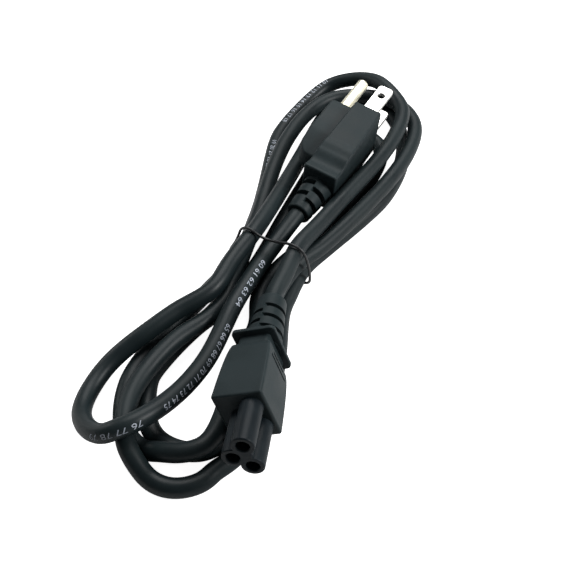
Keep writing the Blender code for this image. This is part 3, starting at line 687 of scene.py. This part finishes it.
FINISHES = {
    Slot.JACKET: Finish(
        name="jacket_pvc", colour=(0.009, 0.015, 0.017), bloom=(0.014, 0.022, 0.024), roughness=(0.40, 0.50),
        specular=0.22, handling_scale=45.0, speckle=0.15, grain_scale=2600.0, grain_depth=0.000012,
        stretch=(60.0, 30.0, 1.0), line_depth=0.00002, from_uv=True),
    Slot.MOULDING: Finish(
        name="moulded_pvc", colour=(0.014, 0.022, 0.024), bloom=(0.020, 0.030, 0.033), roughness=(0.46, 0.56),
        specular=0.16, handling_scale=70.0, speckle=0.25, grain_scale=3200.0, grain_depth=0.00003),
    Slot.INSERT: Finish(
        name="insert_plastic", colour=(0.005, 0.009, 0.012), bloom=(0.008, 0.014, 0.018),
        roughness=(0.42, 0.52), specular=0.16, handling_scale=90.0, grain_scale=3600.0, grain_depth=0.000015),
    Slot.BLADE: Finish(
        name="nickel_plate", colour=(0.86, 0.85, 0.82), bloom=(0.72, 0.71, 0.67), roughness=(0.20, 0.34),
        metallic=1.0, handling_scale=160.0, grain_scale=4000.0, grain_depth=0.000004,
        stretch=(700.0, 5200.0, 700.0), line_depth=0.000006),
    Slot.PIN: Finish(
        name="pin_metal", colour=(0.97, 0.94, 0.78), bloom=(0.90, 0.86, 0.68), roughness=(0.42, 0.52),
        metallic=1.0, handling_scale=160.0, grain_scale=4000.0, grain_depth=0.000004),
    Slot.CONTACT: Finish(
        name="contact_metal", colour=(0.42, 0.40, 0.36), bloom=(0.30, 0.28, 0.24), roughness=(0.35, 0.5),
        metallic=1.0, handling_scale=200.0, grain_scale=4000.0, grain_depth=0.000004),
    Slot.TIE: Finish(
        name="tie_plastic", colour=(0.014, 0.016, 0.017), bloom=(0.022, 0.024, 0.026), roughness=(0.30, 0.42),
        handling_scale=120.0, grain_scale=3600.0, grain_depth=0.00001),
}
INK = Finish(
    name="print_ink", colour=(0.58, 0.62, 0.70), bloom=(0.36, 0.40, 0.46), roughness=(0.5, 0.6), specular=0.3,
    handling_scale=300.0, grain_scale=3600.0, grain_depth=0.000008)


def dress(thing: Thing, finish: Material) -> None:
    """Give an object one material."""
    thing.data.materials.clear()
    thing.data.materials.append(finish)


def settle(thing: Thing, finish: Material, slot: Slot, *nodes: str) -> Thing:
    """Dress a piece, let it ride on the body and hide the CAD nodes that it stands for.

    Args:
        thing: The piece.
        finish: Its material.
        slot: The record's material slot that it takes; not used.
        nodes: The CAD nodes that it replaces.

    Returns:
        The piece.
    """
    dress(thing, finish)
    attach(thing, BODY)
    if nodes:
        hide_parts(*nodes)
    LOG.info("%s: %d vertices", thing.name, len(thing.data.vertices))
    return thing


def build_moulding(name: str, node: str, lay: Lay, parts: dict[str, Array], finishes: Finishes) -> Thing:
    """Build and dress a moulding of several closed shells.

    Args:
        name: The moulding's name.
        node: The CAD node that it replaces.
        lay: Where it lies.
        parts: The rings of each shell, in the moulding's axes.
        finishes: The material of each slot.

    Returns:
        The moulding.
    """
    shells = [grid_object(f"{name}_{part}", lay.place(grid)) for part, grid in parts.items()]
    return settle(join_objects(name, shells), finishes[Slot.MOULDING], Slot.MOULDING, node)


@dataclass(frozen=True)
class Relief:
    """A tapered strain relief with slots cut from its two sides in turn.

    The slots lie half a pitch apart, beginning on the side that first_left says.
    """

    root: float
    length: float
    root_radius: float
    end_radius: float
    slots: int
    slot_width: float
    pitch: float
    first_left: bool
    rib_half_width: float = 0.0003
    least_cosine: float = 0.05
    core_radius: float = 0.0035
    wall: float = 0.00016
    overlap: float = 0.0016
    end_round: float = 0.0006
    root_step: float = 0.0004
    ring_step: float = 0.0007
    around: int = 96

    @property
    def end(self) -> float:
        """Give the distance from the face at which the relief ends."""
        return self.root + self.length

    def slot_edges(self, left: bool) -> Array:
        """Give the distances from the face at which one side's slots begin."""
        offset = 0.25 if left == self.first_left else 0.75
        return self.root + self.pitch * (np.arange(self.slots) + offset)

    def grid(self) -> Array:
        """Work out the relief as rings round the axis.

        The radius tapers from root to end, and rounds in at the end. Inside a
        slot it drops to the core, or to where the rib's flat side crosses that
        direction, whichever is further out.

        Returns:
            An array of rings by points by 3, in the moulding's axes.
        """
        edges = [np.array((-self.overlap, 0.0, self.root_step)) + self.root]
        offsets = np.array((-0.5, -0.3, -0.15, 0.0, 0.15, 0.3, 0.5)) * self.wall
        for left in (True, False):
            starts = self.slot_edges(left)
            edges += [np.add.outer(starts, offsets).ravel(),
                      np.add.outer(starts + self.slot_width, offsets).ravel()]
        edges.append(self.end - quarter_round(self.end_round, 6)[0])
        edges.append(np.arange(self.root, self.end - self.end_round, self.ring_step))
        along = np.unique(np.round(np.concatenate(edges), 7))
        share = np.clip((along - self.root) / self.length, 0.0, 1.0)
        taper = blend(self.root_radius, self.end_radius, share)
        taper = taper - draw_in(self.end_round, (along - self.end + self.end_round) / self.end_round)
        turn = full_turn(self.around)
        across = np.maximum(np.abs(np.cos(turn)), self.least_cosine)
        floor = np.maximum(self.core_radius, self.rib_half_width / across)
        radius = np.repeat(taper[:, None], self.around, axis=1)
        ease = self.wall / 2
        for left in (True, False):
            half = (np.cos(turn) > 0.0) == left
            mask = np.zeros(len(along))
            for start in self.slot_edges(left):
                finish = start + self.slot_width
                opening = smoothstep(start - ease, start + ease, along)
                mask = np.maximum(mask, opening - smoothstep(finish - ease, finish + ease, along))
            cut = np.minimum(radius, floor[None, :])
            radius = radius + (cut - radius) * mask[:, None] * half[None, :]
        return turned_rings(-along, radius, turn)


@dataclass
class Plug:
    """The wall plug: its moulding, two flat blades and a round ground pin.

    Each grid is an array of rings by points by 3, in the moulding's axes.
    """

    lay: Lay = PLUG_LAY
    length: float = 0.0394
    front_half_width: float = 0.0058
    rear_half_width: float = 0.0070
    front_half_height: float = 0.0109
    rear_half_height: float = 0.0097
    edge_radius: float = 0.0009
    grip_start: float = 0.0212
    grip_rise: float = 0.0004
    grip_dip: float = 0.0013
    ridge_share: float = 0.4
    wing_reach: float = 0.0160
    wing_half_height: float = 0.0067
    wing_length: float = 0.0300
    wing_slope_start: float = 0.0180
    wing_rear_half_height: float = 0.0040
    wing_ease: float = 0.01
    wing_front_radius: float = 0.0022
    wing_rear_radius: float = 0.0065
    wing_edge: float = 0.0010
    wing_foot: float = 0.0030
    blade_width: float = 0.00635
    blade_thickness: float = 0.0015
    blade_length: float = 0.0175
    blade_spacing: float = 0.0127
    blade_root: float = 0.0080
    blade_steps: int = 40
    hole_diameter: float = 0.00305
    hole_place: float = 0.0119
    blade_tip: float = 0.0017
    blade_edge: float = 0.00022
    pin_diameter: float = 0.00475
    pin_length: float = 0.0214
    pin_offset: float = 0.0119
    pin_root: float = 0.0080
    pin_tip: float = 0.0014
    relief: Relief = field(default_factory=lambda: Relief(
        root=0.0394, length=0.0149, root_radius=0.0060, end_radius=0.0046,
        slots=2, slot_width=0.0020, pitch=0.0057, first_left=True))

    def block_grid(self) -> Array:
        """Work out the block as rounded rectangles along its length.

        Half the width grows from front to rear and half the height shrinks.
        Behind the grip's start the height follows one low ridge and then one
        deep dip, each a squared sine.

        Returns:
            The grid in the plug's own frame.
        """
        radius = self.edge_radius
        middle = -np.concatenate([np.linspace(radius + 0.0002, self.grip_start - 0.0005, 12),
                                  np.linspace(self.grip_start, self.length - 0.0010, 60)])
        stations, shrink = rounded_stations(0.0, -self.length, radius, radius, middle)
        share = np.clip(-stations / self.length, 0.0, 1.0)
        width = blend(self.front_half_width, self.rear_half_width, share)
        height = blend(self.front_half_height, self.rear_half_height, share)
        grip = np.clip((-stations - self.grip_start) / (self.length - self.grip_start), 0.0, 1.0)
        ridge = np.minimum(grip / self.ridge_share, 1.0)
        dip = np.maximum(grip - self.ridge_share, 0.0) / (1.0 - self.ridge_share)
        height = height + self.grip_rise * np.sin(math.pi * ridge) ** 2
        height = height - self.grip_dip * np.sin(math.pi * dip) ** 2
        return box_rings(stations, width - shrink, height - shrink, radius - shrink)

    def wing_grid(self) -> Array:
        """Work out the wing as rounded rectangles along its length.

        Its reach follows its plan: a small quarter circle at the front, a
        straight side, and a large quarter circle at the rear. Its half height
        stays level, then falls along a line that a hyperbola eases into.

        Returns:
            The grid in the plug's own frame.
        """
        edge = self.wing_edge
        near = quarter_round(self.wing_front_radius, 14)[1]
        far = self.wing_length - quarter_round(self.wing_rear_radius, 14)[0]
        middle = np.unique(np.concatenate([near, np.linspace(self.wing_front_radius, far[0], 40), far]))
        middle = -middle[(middle > edge) & (middle < self.wing_length - edge)]
        stations, shrink = rounded_stations(0.0, -self.wing_length, edge, edge, middle)
        reach = self.wing_reach - draw_in(self.wing_front_radius, 1 + stations / self.wing_front_radius)
        into_rear = 1 - (stations + self.wing_length) / self.wing_rear_radius
        reach = reach - draw_in(self.wing_rear_radius, into_rear)
        down = (-stations - self.wing_slope_start) / (self.wing_length - self.wing_slope_start)
        eased = (down + np.sqrt(down ** 2 + self.wing_ease)) / (1 + math.sqrt(1 + self.wing_ease))
        height = blend(self.wing_half_height, self.wing_rear_half_height, eased)
        half = (reach - self.wing_foot) / 2
        grid = box_rings(stations, half - shrink / 2, height - shrink, edge - shrink)
        grid[..., 1] += (self.wing_foot + half - shrink / 2)[:, None]
        return grid

    def blade_grid(self, side: int) -> Array:
        """Work out a blade as a closed surface round its hole.

        Rings run from the hole's wall, over the top face to the outline, down
        the edge and back underneath. The outline is a rectangle with round
        corners, drawn in by a quarter circle at its edges.

        Args:
            side: 1 for the upper blade and -1 for the lower.

        Returns:
            Rings of which the last also joins the first.
        """
        tip = self.blade_tip
        root, end, low, high = -self.blade_root, self.blade_length, -self.blade_width / 2, self.blade_width / 2
        corner = np.radians(np.linspace(0.0, 90.0, 9))
        turn = np.stack([np.sin(corner), -np.cos(corner)], axis=-1)
        outward = np.stack([np.cos(corner), np.sin(corner)], axis=-1)
        long = np.linspace(root, end - tip - 0.0002, self.blade_steps)
        front = np.linspace(low + tip, high - tip, 7)[1:-1]
        back = np.linspace(high, low, 9)[1:-1]
        sides = (
            (np.stack([long, np.full(len(long), low)], axis=-1), (0.0, -1.0)),
            (np.array((end - tip, low + tip)) + turn * tip, turn),
            (np.stack([np.full(len(front), end), front], axis=-1), (1.0, 0.0)),
            (np.array((end - tip, high - tip)) + outward * tip, outward),
            (np.stack([long[::-1], np.full(len(long), high)], axis=-1), (0.0, 1.0)),
            (np.stack([np.full(len(back), root), back], axis=-1), (-1.0, 0.0)))
        outline = np.concatenate([points for points, _ in sides])
        normal = np.concatenate([np.broadcast_to(facing, points.shape) for points, facing in sides])
        hole = np.array((self.hole_place, 0.0))
        away = outline - hole
        away = away / np.linalg.norm(away, axis=1, keepdims=True)
        half, edge, radius = self.blade_thickness / 2, self.blade_edge, self.hole_diameter / 2
        drop, inset = quarter_round(edge, 4)
        rise = half - drop
        hole_rings = [hole + away * (radius + step) for step in inset]
        outer_rings = [outline - normal * step for step in inset]
        flat = hole + away * (radius + 0.0008)
        rim = outline - normal * (edge + 0.0002)
        rings = hole_rings + [flat, rim] + outer_rings[::-1] + outer_rings + [rim, flat] + hole_rings[::-1]
        heights = np.concatenate([rise, (half, half), rise[::-1], -rise, (-half, -half), -rise[::-1]])
        lift = heights + side * self.blade_spacing / 2
        up = np.repeat(lift[:, None, None], len(outline), axis=1)
        return np.concatenate([np.stack(rings), up], axis=-1)

    def pin_grid(self) -> Array:
        """Work out the ground pin by turning its profile about its axis.

        The tip's profile is a quarter circle that ends in a small flat.

        Returns:
            The grid in the plug's own frame.
        """
        back, inset = quarter_round(self.pin_tip, 9)
        shank = (-self.pin_root, 0.0005, 0.009, self.pin_length - self.pin_tip - 0.0003)
        stations = np.concatenate([shank, self.pin_length - back])
        profile = self.pin_diameter / 2 - np.concatenate([np.zeros(len(shank)), inset])
        return turned_rings(stations, profile, full_turn(ROUND_STEPS), (self.pin_offset, 0.0))

    def build(self, finishes: Finishes) -> list[Thing]:
        """Build and dress the plug.

        Args:
            finishes: The material of each slot.

        Returns:
            The plug's pieces.
        """
        parts = {"block": self.block_grid(), "wing": self.wing_grid(), "relief": self.relief.grid()}
        pieces = [build_moulding("plug_moulding", "plug_body", self.lay, parts, finishes)]
        for name, side, node in (("upper", 1, "blade_line"), ("lower", -1, "blade_neutral")):
            blade = grid_object(f"blade_{name}", self.lay.place(self.blade_grid(side)), BLADE_SHARP, loop=True)
            pieces.append(settle(blade, finishes[Slot.BLADE], Slot.BLADE, node))
        pin = grid_object("turned_pin", self.lay.place(self.pin_grid()))
        pieces.append(settle(pin, finishes[Slot.PIN], Slot.PIN, "ground_pin"))
        return pieces


@dataclass
class Connector:
    """The appliance connector: shell, neck, flange, strain relief and nose.

    Each grid is an array of rings by points by 3, in the moulding's axes.
    """

    lay: Lay = CONNECTOR_LAY
    length: float = 0.0230
    front_half_width: float = 0.00796
    rear_half_width: float = 0.0061
    front_half_height: float = 0.00943
    rear_half_height: float = 0.0078
    edge_radius: float = 0.0008
    straight_share: float = 0.35
    shoulder_power: float = 3.2
    shoulder_start: float = 0.948
    neck_length: float = 0.0041
    neck_half_width: float = 0.0052
    neck_half_height: float = 0.0070
    neck_corner: float = 0.0012
    neck_edge: float = 0.0001
    neck_overlaps: tuple[float, float] = (0.0014, 0.0004)
    flange_thickness: float = 0.0014
    flange_half_width: float = 0.0072
    flange_half_height: float = 0.0092
    flange_corner: float = 0.0016
    flange_edge: float = 0.0003
    grooves: tuple[tuple[float, float], ...] = ((-0.0186, 0.0052), (-0.0207, 0.0041))
    groove_band: tuple[float, float] = (0.0178, 0.0217)
    groove_width: float = 0.0010
    groove_depth: float = 0.0009
    nose_length: float = 0.0152
    nose_root: float = 0.0060
    lobe_radius: float = 0.0035
    line_spread: float = 0.00855
    line_shift: float = 0.0033
    earth_shift: float = -0.0012
    web_radius: float = 0.0030
    nose_edge: float = 0.0005
    socket_diameter: float = 0.0042
    socket_depth: float = 0.0140
    socket_rim: float = 0.00025
    cut_overrun: float = 0.001
    relief: Relief = field(default_factory=lambda: Relief(
        root=0.0285, length=0.0215, root_radius=0.0062, end_radius=0.0048,
        slots=3, slot_width=0.0015, pitch=0.0052, first_left=False))

    def shell_grid(self) -> Array:
        """Work out the shell as rounded rectangles from its face to its rear.

        Its half sizes ease in by a straight share of the way along, and for
        the rest by a rounded shoulder, 1 - sqrt(1 - way to the shoulder's
        power). Each groove, given by its place and half height, is pressed
        into the right side.

        Returns:
            The grid in the connector's own frame.
        """
        radius = self.edge_radius
        begin = math.asin(self.shoulder_start)
        middle = -np.concatenate([
            np.linspace(radius + 0.0002, self.groove_band[0] - 0.0002, 26), np.linspace(*self.groove_band, 54),
            self.length * np.sin(np.linspace(begin, math.pi / 2, 22)[:-1])])
        both = rounded_stations(0.0, -self.length, radius, 0.0, middle)
        stations, shrink = (each[:-EDGE_STEPS] for each in both)
        share = np.clip(-stations / self.length, 0.0, 1.0)
        shoulder = 1.0 - np.sqrt(np.clip(1.0 - share ** self.shoulder_power, 0.0, 1.0))
        easing = self.straight_share * share + (1.0 - self.straight_share) * shoulder
        width = blend(self.front_half_width, self.rear_half_width, easing) - shrink
        height = blend(self.front_half_height, self.rear_half_height, easing) - shrink
        grid = box_rings(stations, width, height, radius - shrink, side_steps=10)
        on_side = smoothstep(0.0003, 0.0001, np.abs(grid[..., 1] - width[:, None]))
        for place, reach in self.grooves:
            away = np.abs(grid[..., 0] - place)
            window = 1.0 - smoothstep(reach - 0.0003, reach, np.abs(grid[..., 2]))
            press = 1.0 - smoothstep(self.groove_width / 2 - 0.0002, self.groove_width / 2, away)
            grid[..., 1] -= self.groove_depth * press * window * on_side
        return grid

    def plate_grid(self, span: tuple[float, float], halves: tuple[float, float], corner: float,
                   edge: float) -> Array:
        """Work out a plate across the axis, with round corners and edges.

        Args:
            span: Where it starts and ends along X.
            halves: Half its width and half its height.
            corner: The radius of its corners.
            edge: The radius of its edges.

        Returns:
            The plate's rings.
        """
        stations, shrink = rounded_stations(*span, edge, edge, np.empty(0), steps=4)
        return box_rings(stations, halves[0] - shrink, halves[1] - shrink, corner - shrink)

    def socket_places(self) -> tuple[tuple[str, float, float], ...]:
        """Give each socket's name, Y and Z."""
        spread = self.line_spread / 2
        return (("line", self.line_shift, spread), ("neutral", self.line_shift, -spread),
                ("earth", self.earth_shift, 0.0))

    def nose_grid(self) -> Array:
        """Work out the nose as its cloverleaf section along X.

        Along each ray from the middle the outline is as far out as the furthest
        of the three lobes and a web circle. It draws in round the end's edge.

        Returns:
            The grid in the connector's own frame.
        """
        places = np.array([(y, z) for _, y, z in self.socket_places()])
        middle = places.mean(axis=0)
        turn = full_turn(216)
        offsets = places - middle
        along = np.stack([np.cos(turn), np.sin(turn)], axis=-1) @ offsets.T
        inside = self.lobe_radius ** 2 - ((offsets ** 2).sum(axis=1)[None, :] - along ** 2)
        reach = np.where(inside > 0, along + np.sqrt(np.clip(inside, 0.0, None)), 0.0).max(axis=1)
        reach = np.maximum(reach, self.web_radius)
        back, inset = quarter_round(self.nose_edge, 5)
        stations = np.concatenate([[-self.nose_root, 0.0], self.nose_length - back])
        inset = np.concatenate([[0.0, 0.0], inset])
        return turned_rings(stations, reach[None, :] - inset[:, None], turn, tuple(middle))

    def socket_tools(self) -> list[Thing]:
        """Build a cutter for each socket, a bore with a wider rim at its mouth.

        Returns:
            The cutters.
        """
        mouth, rim, bore = self.nose_length, self.socket_rim, self.socket_diameter / 2
        stations = np.array((mouth - self.socket_depth, mouth - rim, mouth, mouth + self.cut_overrun))
        radii = np.array((bore, bore, bore + rim, bore + rim))
        tools = []
        for name, y, z in self.socket_places():
            rings = turned_rings(stations, radii, full_turn(ROUND_STEPS), (y, z))
            tools.append(grid_object(f"socket_{name}", self.lay.place(rings)))
        return tools

    def build(self, finishes: Finishes) -> None:
        """Build and dress the connector, without its contacts.

        Args:
            finishes: The material of each slot.
        """
        rear = self.length + self.neck_length
        neck = self.plate_grid((-self.length + self.neck_overlaps[0], -rear - self.neck_overlaps[1]),
                               (self.neck_half_width, self.neck_half_height), self.neck_corner, self.neck_edge)
        flange = self.plate_grid((-rear, -rear - self.flange_thickness),
                                 (self.flange_half_width, self.flange_half_height),
                                 self.flange_corner, self.flange_edge)
        parts = {"shell": self.shell_grid(), "neck": neck, "flange": flange, "relief": self.relief.grid()}
        build_moulding("connector_moulding", "connector_body", self.lay, parts, finishes)
        nose = grid_object("connector_nose", self.lay.place(self.nose_grid()))
        cut_holes(nose, self.socket_tools())
        settle(nose, finishes[Slot.INSERT], Slot.INSERT, "connector_insert")


@dataclass
class Cord:
    """The round three-core cord, folded into a hank."""

    diameter: float = 0.0063
    lead: float = 0.004
    seat_gap: float = 0.0003
    inside: float = 0.0012
    stations: int = 1560
    around: int = 28
    ripple: float = 0.00003
    core_lay: float = 0.055

    def route(self, plug: Plug, connector: Connector) -> Array:
        """Join the route's points to the two strain reliefs.

        Args:
            plug: The plug at the route's end.
            connector: The connector at the route's start.

        Returns:
            The route's points in the model's frame.
        """
        ends = []
        for fitting in (connector, plug):
            out = fitting.relief.end + self.seat_gap
            ends.append(fitting.lay.place(np.array(((-out, 0.0, 0.0), (-out - self.lead, 0.0, 0.0)))))
        return np.vstack([ends[0], np.array(ROUTE) - HANK_CENTRE, ends[1][::-1]])

    def build(self, line: Array, finish: Material) -> Thing:
        """Carry a circle along the cord's centre line, with the faint ripple of three twisted cores.

        The radius dips by the ripple three times round the section, and the
        pattern turns once in each lay length along the cord. Both ends run on
        a little way inside the reliefs.

        Args:
            line: The cord's centre line.
            finish: The jacket's material.

        Returns:
            The jacket.
        """
        ends = line[[0, -1]] - line[[1, -2]]
        ends = line[[0, -1]] + ends / np.linalg.norm(ends, axis=1, keepdims=True) * self.inside
        sweep = np.vstack([ends[0], line, ends[1]])
        travelled = arc_lengths(sweep)
        turn = full_turn(self.around)
        phase = 3.0 * (turn[None, :] - 2 * math.pi * travelled[:, None] / self.core_lay)
        radius = self.diameter / 2 - self.ripple * (0.5 - 0.5 * np.cos(phase))
        grid = tube_rings(sweep, line_axes(np.gradient(sweep, axis=0), (0.0, 0.0, 1.0)), radius, turn)
        uv = np.stack([np.repeat((turn / (2 * math.pi))[None, :], len(sweep), axis=0),
                       np.repeat(travelled[:, None], self.around, axis=1)], axis=-1)
        return settle(grid_object("cord_jacket", grid, uv=uv), finish, Slot.JACKET, "cord")


@dataclass(frozen=True)
class Print:
    """One run of plain counting numbers, and the arc lengths and turns that it lies between."""

    first: int
    last: int
    start: float
    finish: float
    turn_start: float
    turn_finish: float


PRINTS = (Print(60, 64, 1.836, 1.812, 0.95, 0.80), Print(65, 75, 1.804, 1.764, 0.75, 0.55),
          Print(76, 79, 1.756, 1.742, 0.50, 0.45), Print(10, 18, 0.178, 0.212, 1.6, 1.55),
          Print(19, 26, 0.226, 0.258, 1.55, 1.5))


@dataclass
class Legend:
    """The white numbers that are printed along the cord."""

    height: float = 0.0020
    capital: float = 0.72
    lift: float = 0.00004
    lowest: float = -0.05
    highest: float = 0.75
    slices: int = 7

    def build(self, line: Array, diameter: float, finish: Material) -> Thing:
        """Bend each run of numbers round the jacket.

        A number's X goes along the cord and its Y goes round it as an arc of
        the same length, a little proud of the surface.

        Args:
            line: The cord's centre line.
            diameter: The cord's diameter.
            finish: The ink's material.

        Returns:
            The numbers as one object.
        """
        side, upright = line_axes(np.gradient(line, axis=0), (0.0, 0.0, 1.0))
        travelled = arc_lengths(line)
        radius = diameter / 2 + self.lift
        runs = []
        for number, run in enumerate(PRINTS):
            text = " ".join(str(value) for value in range(run.first, run.last + 1))
            flat = self.flat_text(f"numbers_{number + 1}", text)
            points = mesh_points(flat.data)
            share = points[:, 0] / points[:, 0].max()
            along = blend(run.start, run.finish, share)
            around = math.copysign(self.height, run.finish - run.start) * (points[:, 1] / self.capital - 0.5)
            angle = blend(run.turn_start, run.turn_finish, share) + around / radius
            base, across, up = (at_lengths(along, travelled, each) for each in (line, side, upright))
            bent = base + radius * (np.cos(angle)[:, None] * across + np.sin(angle)[:, None] * up)
            flat.data.vertices.foreach_set("co", bent.astype(np.float32).ravel())
            flat.data.update()
            runs.append(flat)
        return settle(join_objects("printed_numbers", runs), finish, Slot.JACKET)

    def flat_text(self, name: str, text: str) -> Thing:
        """Write flat numbers as a mesh, sliced lengthwise so that it can bend.

        Args:
            name: The object's name.
            text: The numbers.

        Returns:
            The new object.
        """
        curve = bpy.data.curves.new(name, 'FONT')
        curve.body = text
        curve.size = 1.0
        curve.resolution_u = 3
        writing = bpy.data.objects.new(name, curve)
        mesh = bpy.data.meshes.new_from_object(writing)
        bpy.data.objects.remove(writing)
        shape = bmesh.new()
        shape.from_mesh(mesh)
        for level in np.linspace(self.lowest, self.highest, self.slices):
            bmesh.ops.bisect_plane(shape, geom=shape.verts[:] + shape.edges[:] + shape.faces[:],
                                   plane_co=(0.0, float(level), 0.0), plane_no=(0.0, 1.0, 0.0))
        shape.to_mesh(mesh)
        shape.free()
        return add_object(name, mesh)


@dataclass
class Tie:
    """The thin wire tie round the hank."""

    diameter: float = 0.0010
    stations: int = 420
    around: int = 14

    def build(self, finish: Material) -> Thing:
        """Carry a circle round the closed route, its side square to +Y.

        Args:
            finish: The tie's material.

        Returns:
            The tie.
        """
        line = smooth_curve(np.array(TIE_ROUTE) - HANK_CENTRE, self.stations + 1, closed=True)[:-1]
        axes = line_axes(np.roll(line, -1, axis=0) - np.roll(line, 1, axis=0), (0.0, 1.0, 0.0))
        grid = tube_rings(line, axes, self.diameter / 2, full_turn(self.around))
        return settle(grid_object("tie_wire", grid, loop=True), finish, Slot.TIE, "cord_tie")


@dataclass(frozen=True)
class Softbox:
    """A square soft light that faces the hank."""

    name: str
    place: Triple
    size: float
    power: float

    def add(self) -> None:
        """Hang the light in the scene."""
        data = bpy.data.lights.new(self.name, 'AREA')
        data.shape = 'SQUARE'
        data.size = self.size
        data.energy = self.power
        light = add_object(self.name, data)
        light.location = self.place
        light.rotation_euler = (-Vector(self.place)).to_track_quat('-Z', 'Y').to_euler()


SOFTBOXES = (Softbox("key_softbox", (-0.12, 0.62, 1.0), size=0.9, power=12.0),
             Softbox("right_softbox", (0.95, 0.20, 0.65), size=0.4, power=10.0),
             Softbox("left_softbox", (-1.1, 0.15, 0.55), size=0.3, power=2.5))


@dataclass
class Studio:
    """The floor, the light and the photograph's camera."""

    camera_place: Triple = (0.0903, -0.22711, 0.2260)
    aim: Triple = (0.0093, -0.01611, 0.0)
    lens: float = 54.56
    floor_size: float = 3.0
    floor_tone: float = 0.90
    sky_colour: Triple = (0.96, 0.98, 1.0)
    sky: float = 0.11
    bounce: float = 0.05
    glow: float = 0.95

    def add_camera(self) -> None:
        """Set the camera at the photograph's place and angle."""
        data = bpy.data.cameras.new("photo_camera")
        data.lens = self.lens
        data.sensor_width = 36.0
        data.clip_start = 0.01
        camera = add_object("photo_camera", data)
        camera.location = self.camera_place
        way = Vector(self.aim) - Vector(self.camera_place)
        camera.rotation_euler = way.to_track_quat('-Z', 'Y').to_euler()
        bpy.context.scene.camera = camera

    def add_floor(self) -> None:
        """Lay a plain pale floor that the camera sees as white."""
        half = self.floor_size / 2
        mesh = bpy.data.meshes.new("floor")
        mesh.from_pydata([(-half, -half, 0.0), (half, -half, 0.0), (half, half, 0.0), (-half, half, 0.0)], [],
                         [(0, 1, 2, 3)])
        floor = add_object("floor", mesh)
        pale = bpy.data.materials.new("pale_floor")
        pale.use_nodes = True
        tree = pale.node_tree
        shader = tree.nodes["Principled BSDF"]
        white = (1.0, 1.0, 1.0, 1.0)
        set_inputs(shader, {'Roughness': 0.9, 'Specular IOR Level': 0.1, 'Emission Color': white})
        seen = add_node(tree, 'LightPath')
        tones = {MIX_A: (self.floor_tone,) * 3 + (1.0,), MIX_B: (self.bounce,) * 3 + (1.0,)}
        tone = add_node(tree, 'Mix', tones, data_type='RGBA')
        glow = add_node(tree, 'Math', {1: self.glow}, operation='MULTIPLY')
        link(tree, (seen, 'Is Diffuse Ray', tone, 0), (tone, MIX_RESULT, shader, 'Base Color'),
             (seen, 'Is Camera Ray', glow, 0), (glow, 0, shader, 'Emission Strength'))
        dress(floor, pale)

    def add_lights(self) -> None:
        """Light the hank with a soft sky, which the camera sees as white, and the softboxes."""
        world = bpy.data.worlds.new("studio")
        world.use_nodes = True
        tree = world.node_tree
        sky = tree.nodes["Background"]
        set_inputs(sky, {'Color': (*self.sky_colour, 1.0)})
        seen = add_node(tree, 'LightPath')
        level = add_node(tree, 'MapRange', {'To Min': self.sky, 'To Max': 1.0})
        link(tree, (seen, 'Is Camera Ray', level, 'Value'), (level, 'Result', sky, 'Strength'))
        bpy.context.scene.world = world
        for softbox in SOFTBOXES:
            softbox.add()
        bpy.context.scene.view_settings.view_transform = 'Standard'


def dress_contacts(finish: Material) -> None:
    """Give the three contact sleeves their metal."""
    for name in ("contact_line", "contact_neutral", "contact_earth"):
        dress(bpy.data.objects[name], finish)
        LOG.info("%s: dressed", name)


def main() -> None:
    """Build the power cord's looks in order."""
    logging.basicConfig(level=logging.INFO, format="%(name)s %(message)s")
    studio = Studio()
    studio.add_camera()
    effects = Effects()
    materials = {slot: finish.material(effects) for slot, finish in FINISHES.items()}
    plug, connector, cord = Plug(), Connector(), Cord()
    line = smooth_curve(cord.route(plug, connector), cord.stations)
    jacket = cord.build(line, materials[Slot.JACKET])
    legend = Legend().build(line, cord.diameter, INK.material(effects))
    plug_pieces = plug.build(materials)
    connector.build(materials)
    dress_contacts(materials[Slot.CONTACT])
    Tie().build(materials[Slot.TIE])
    studio.add_floor()
    studio.add_lights()


if __name__ == "__main__":
    main()
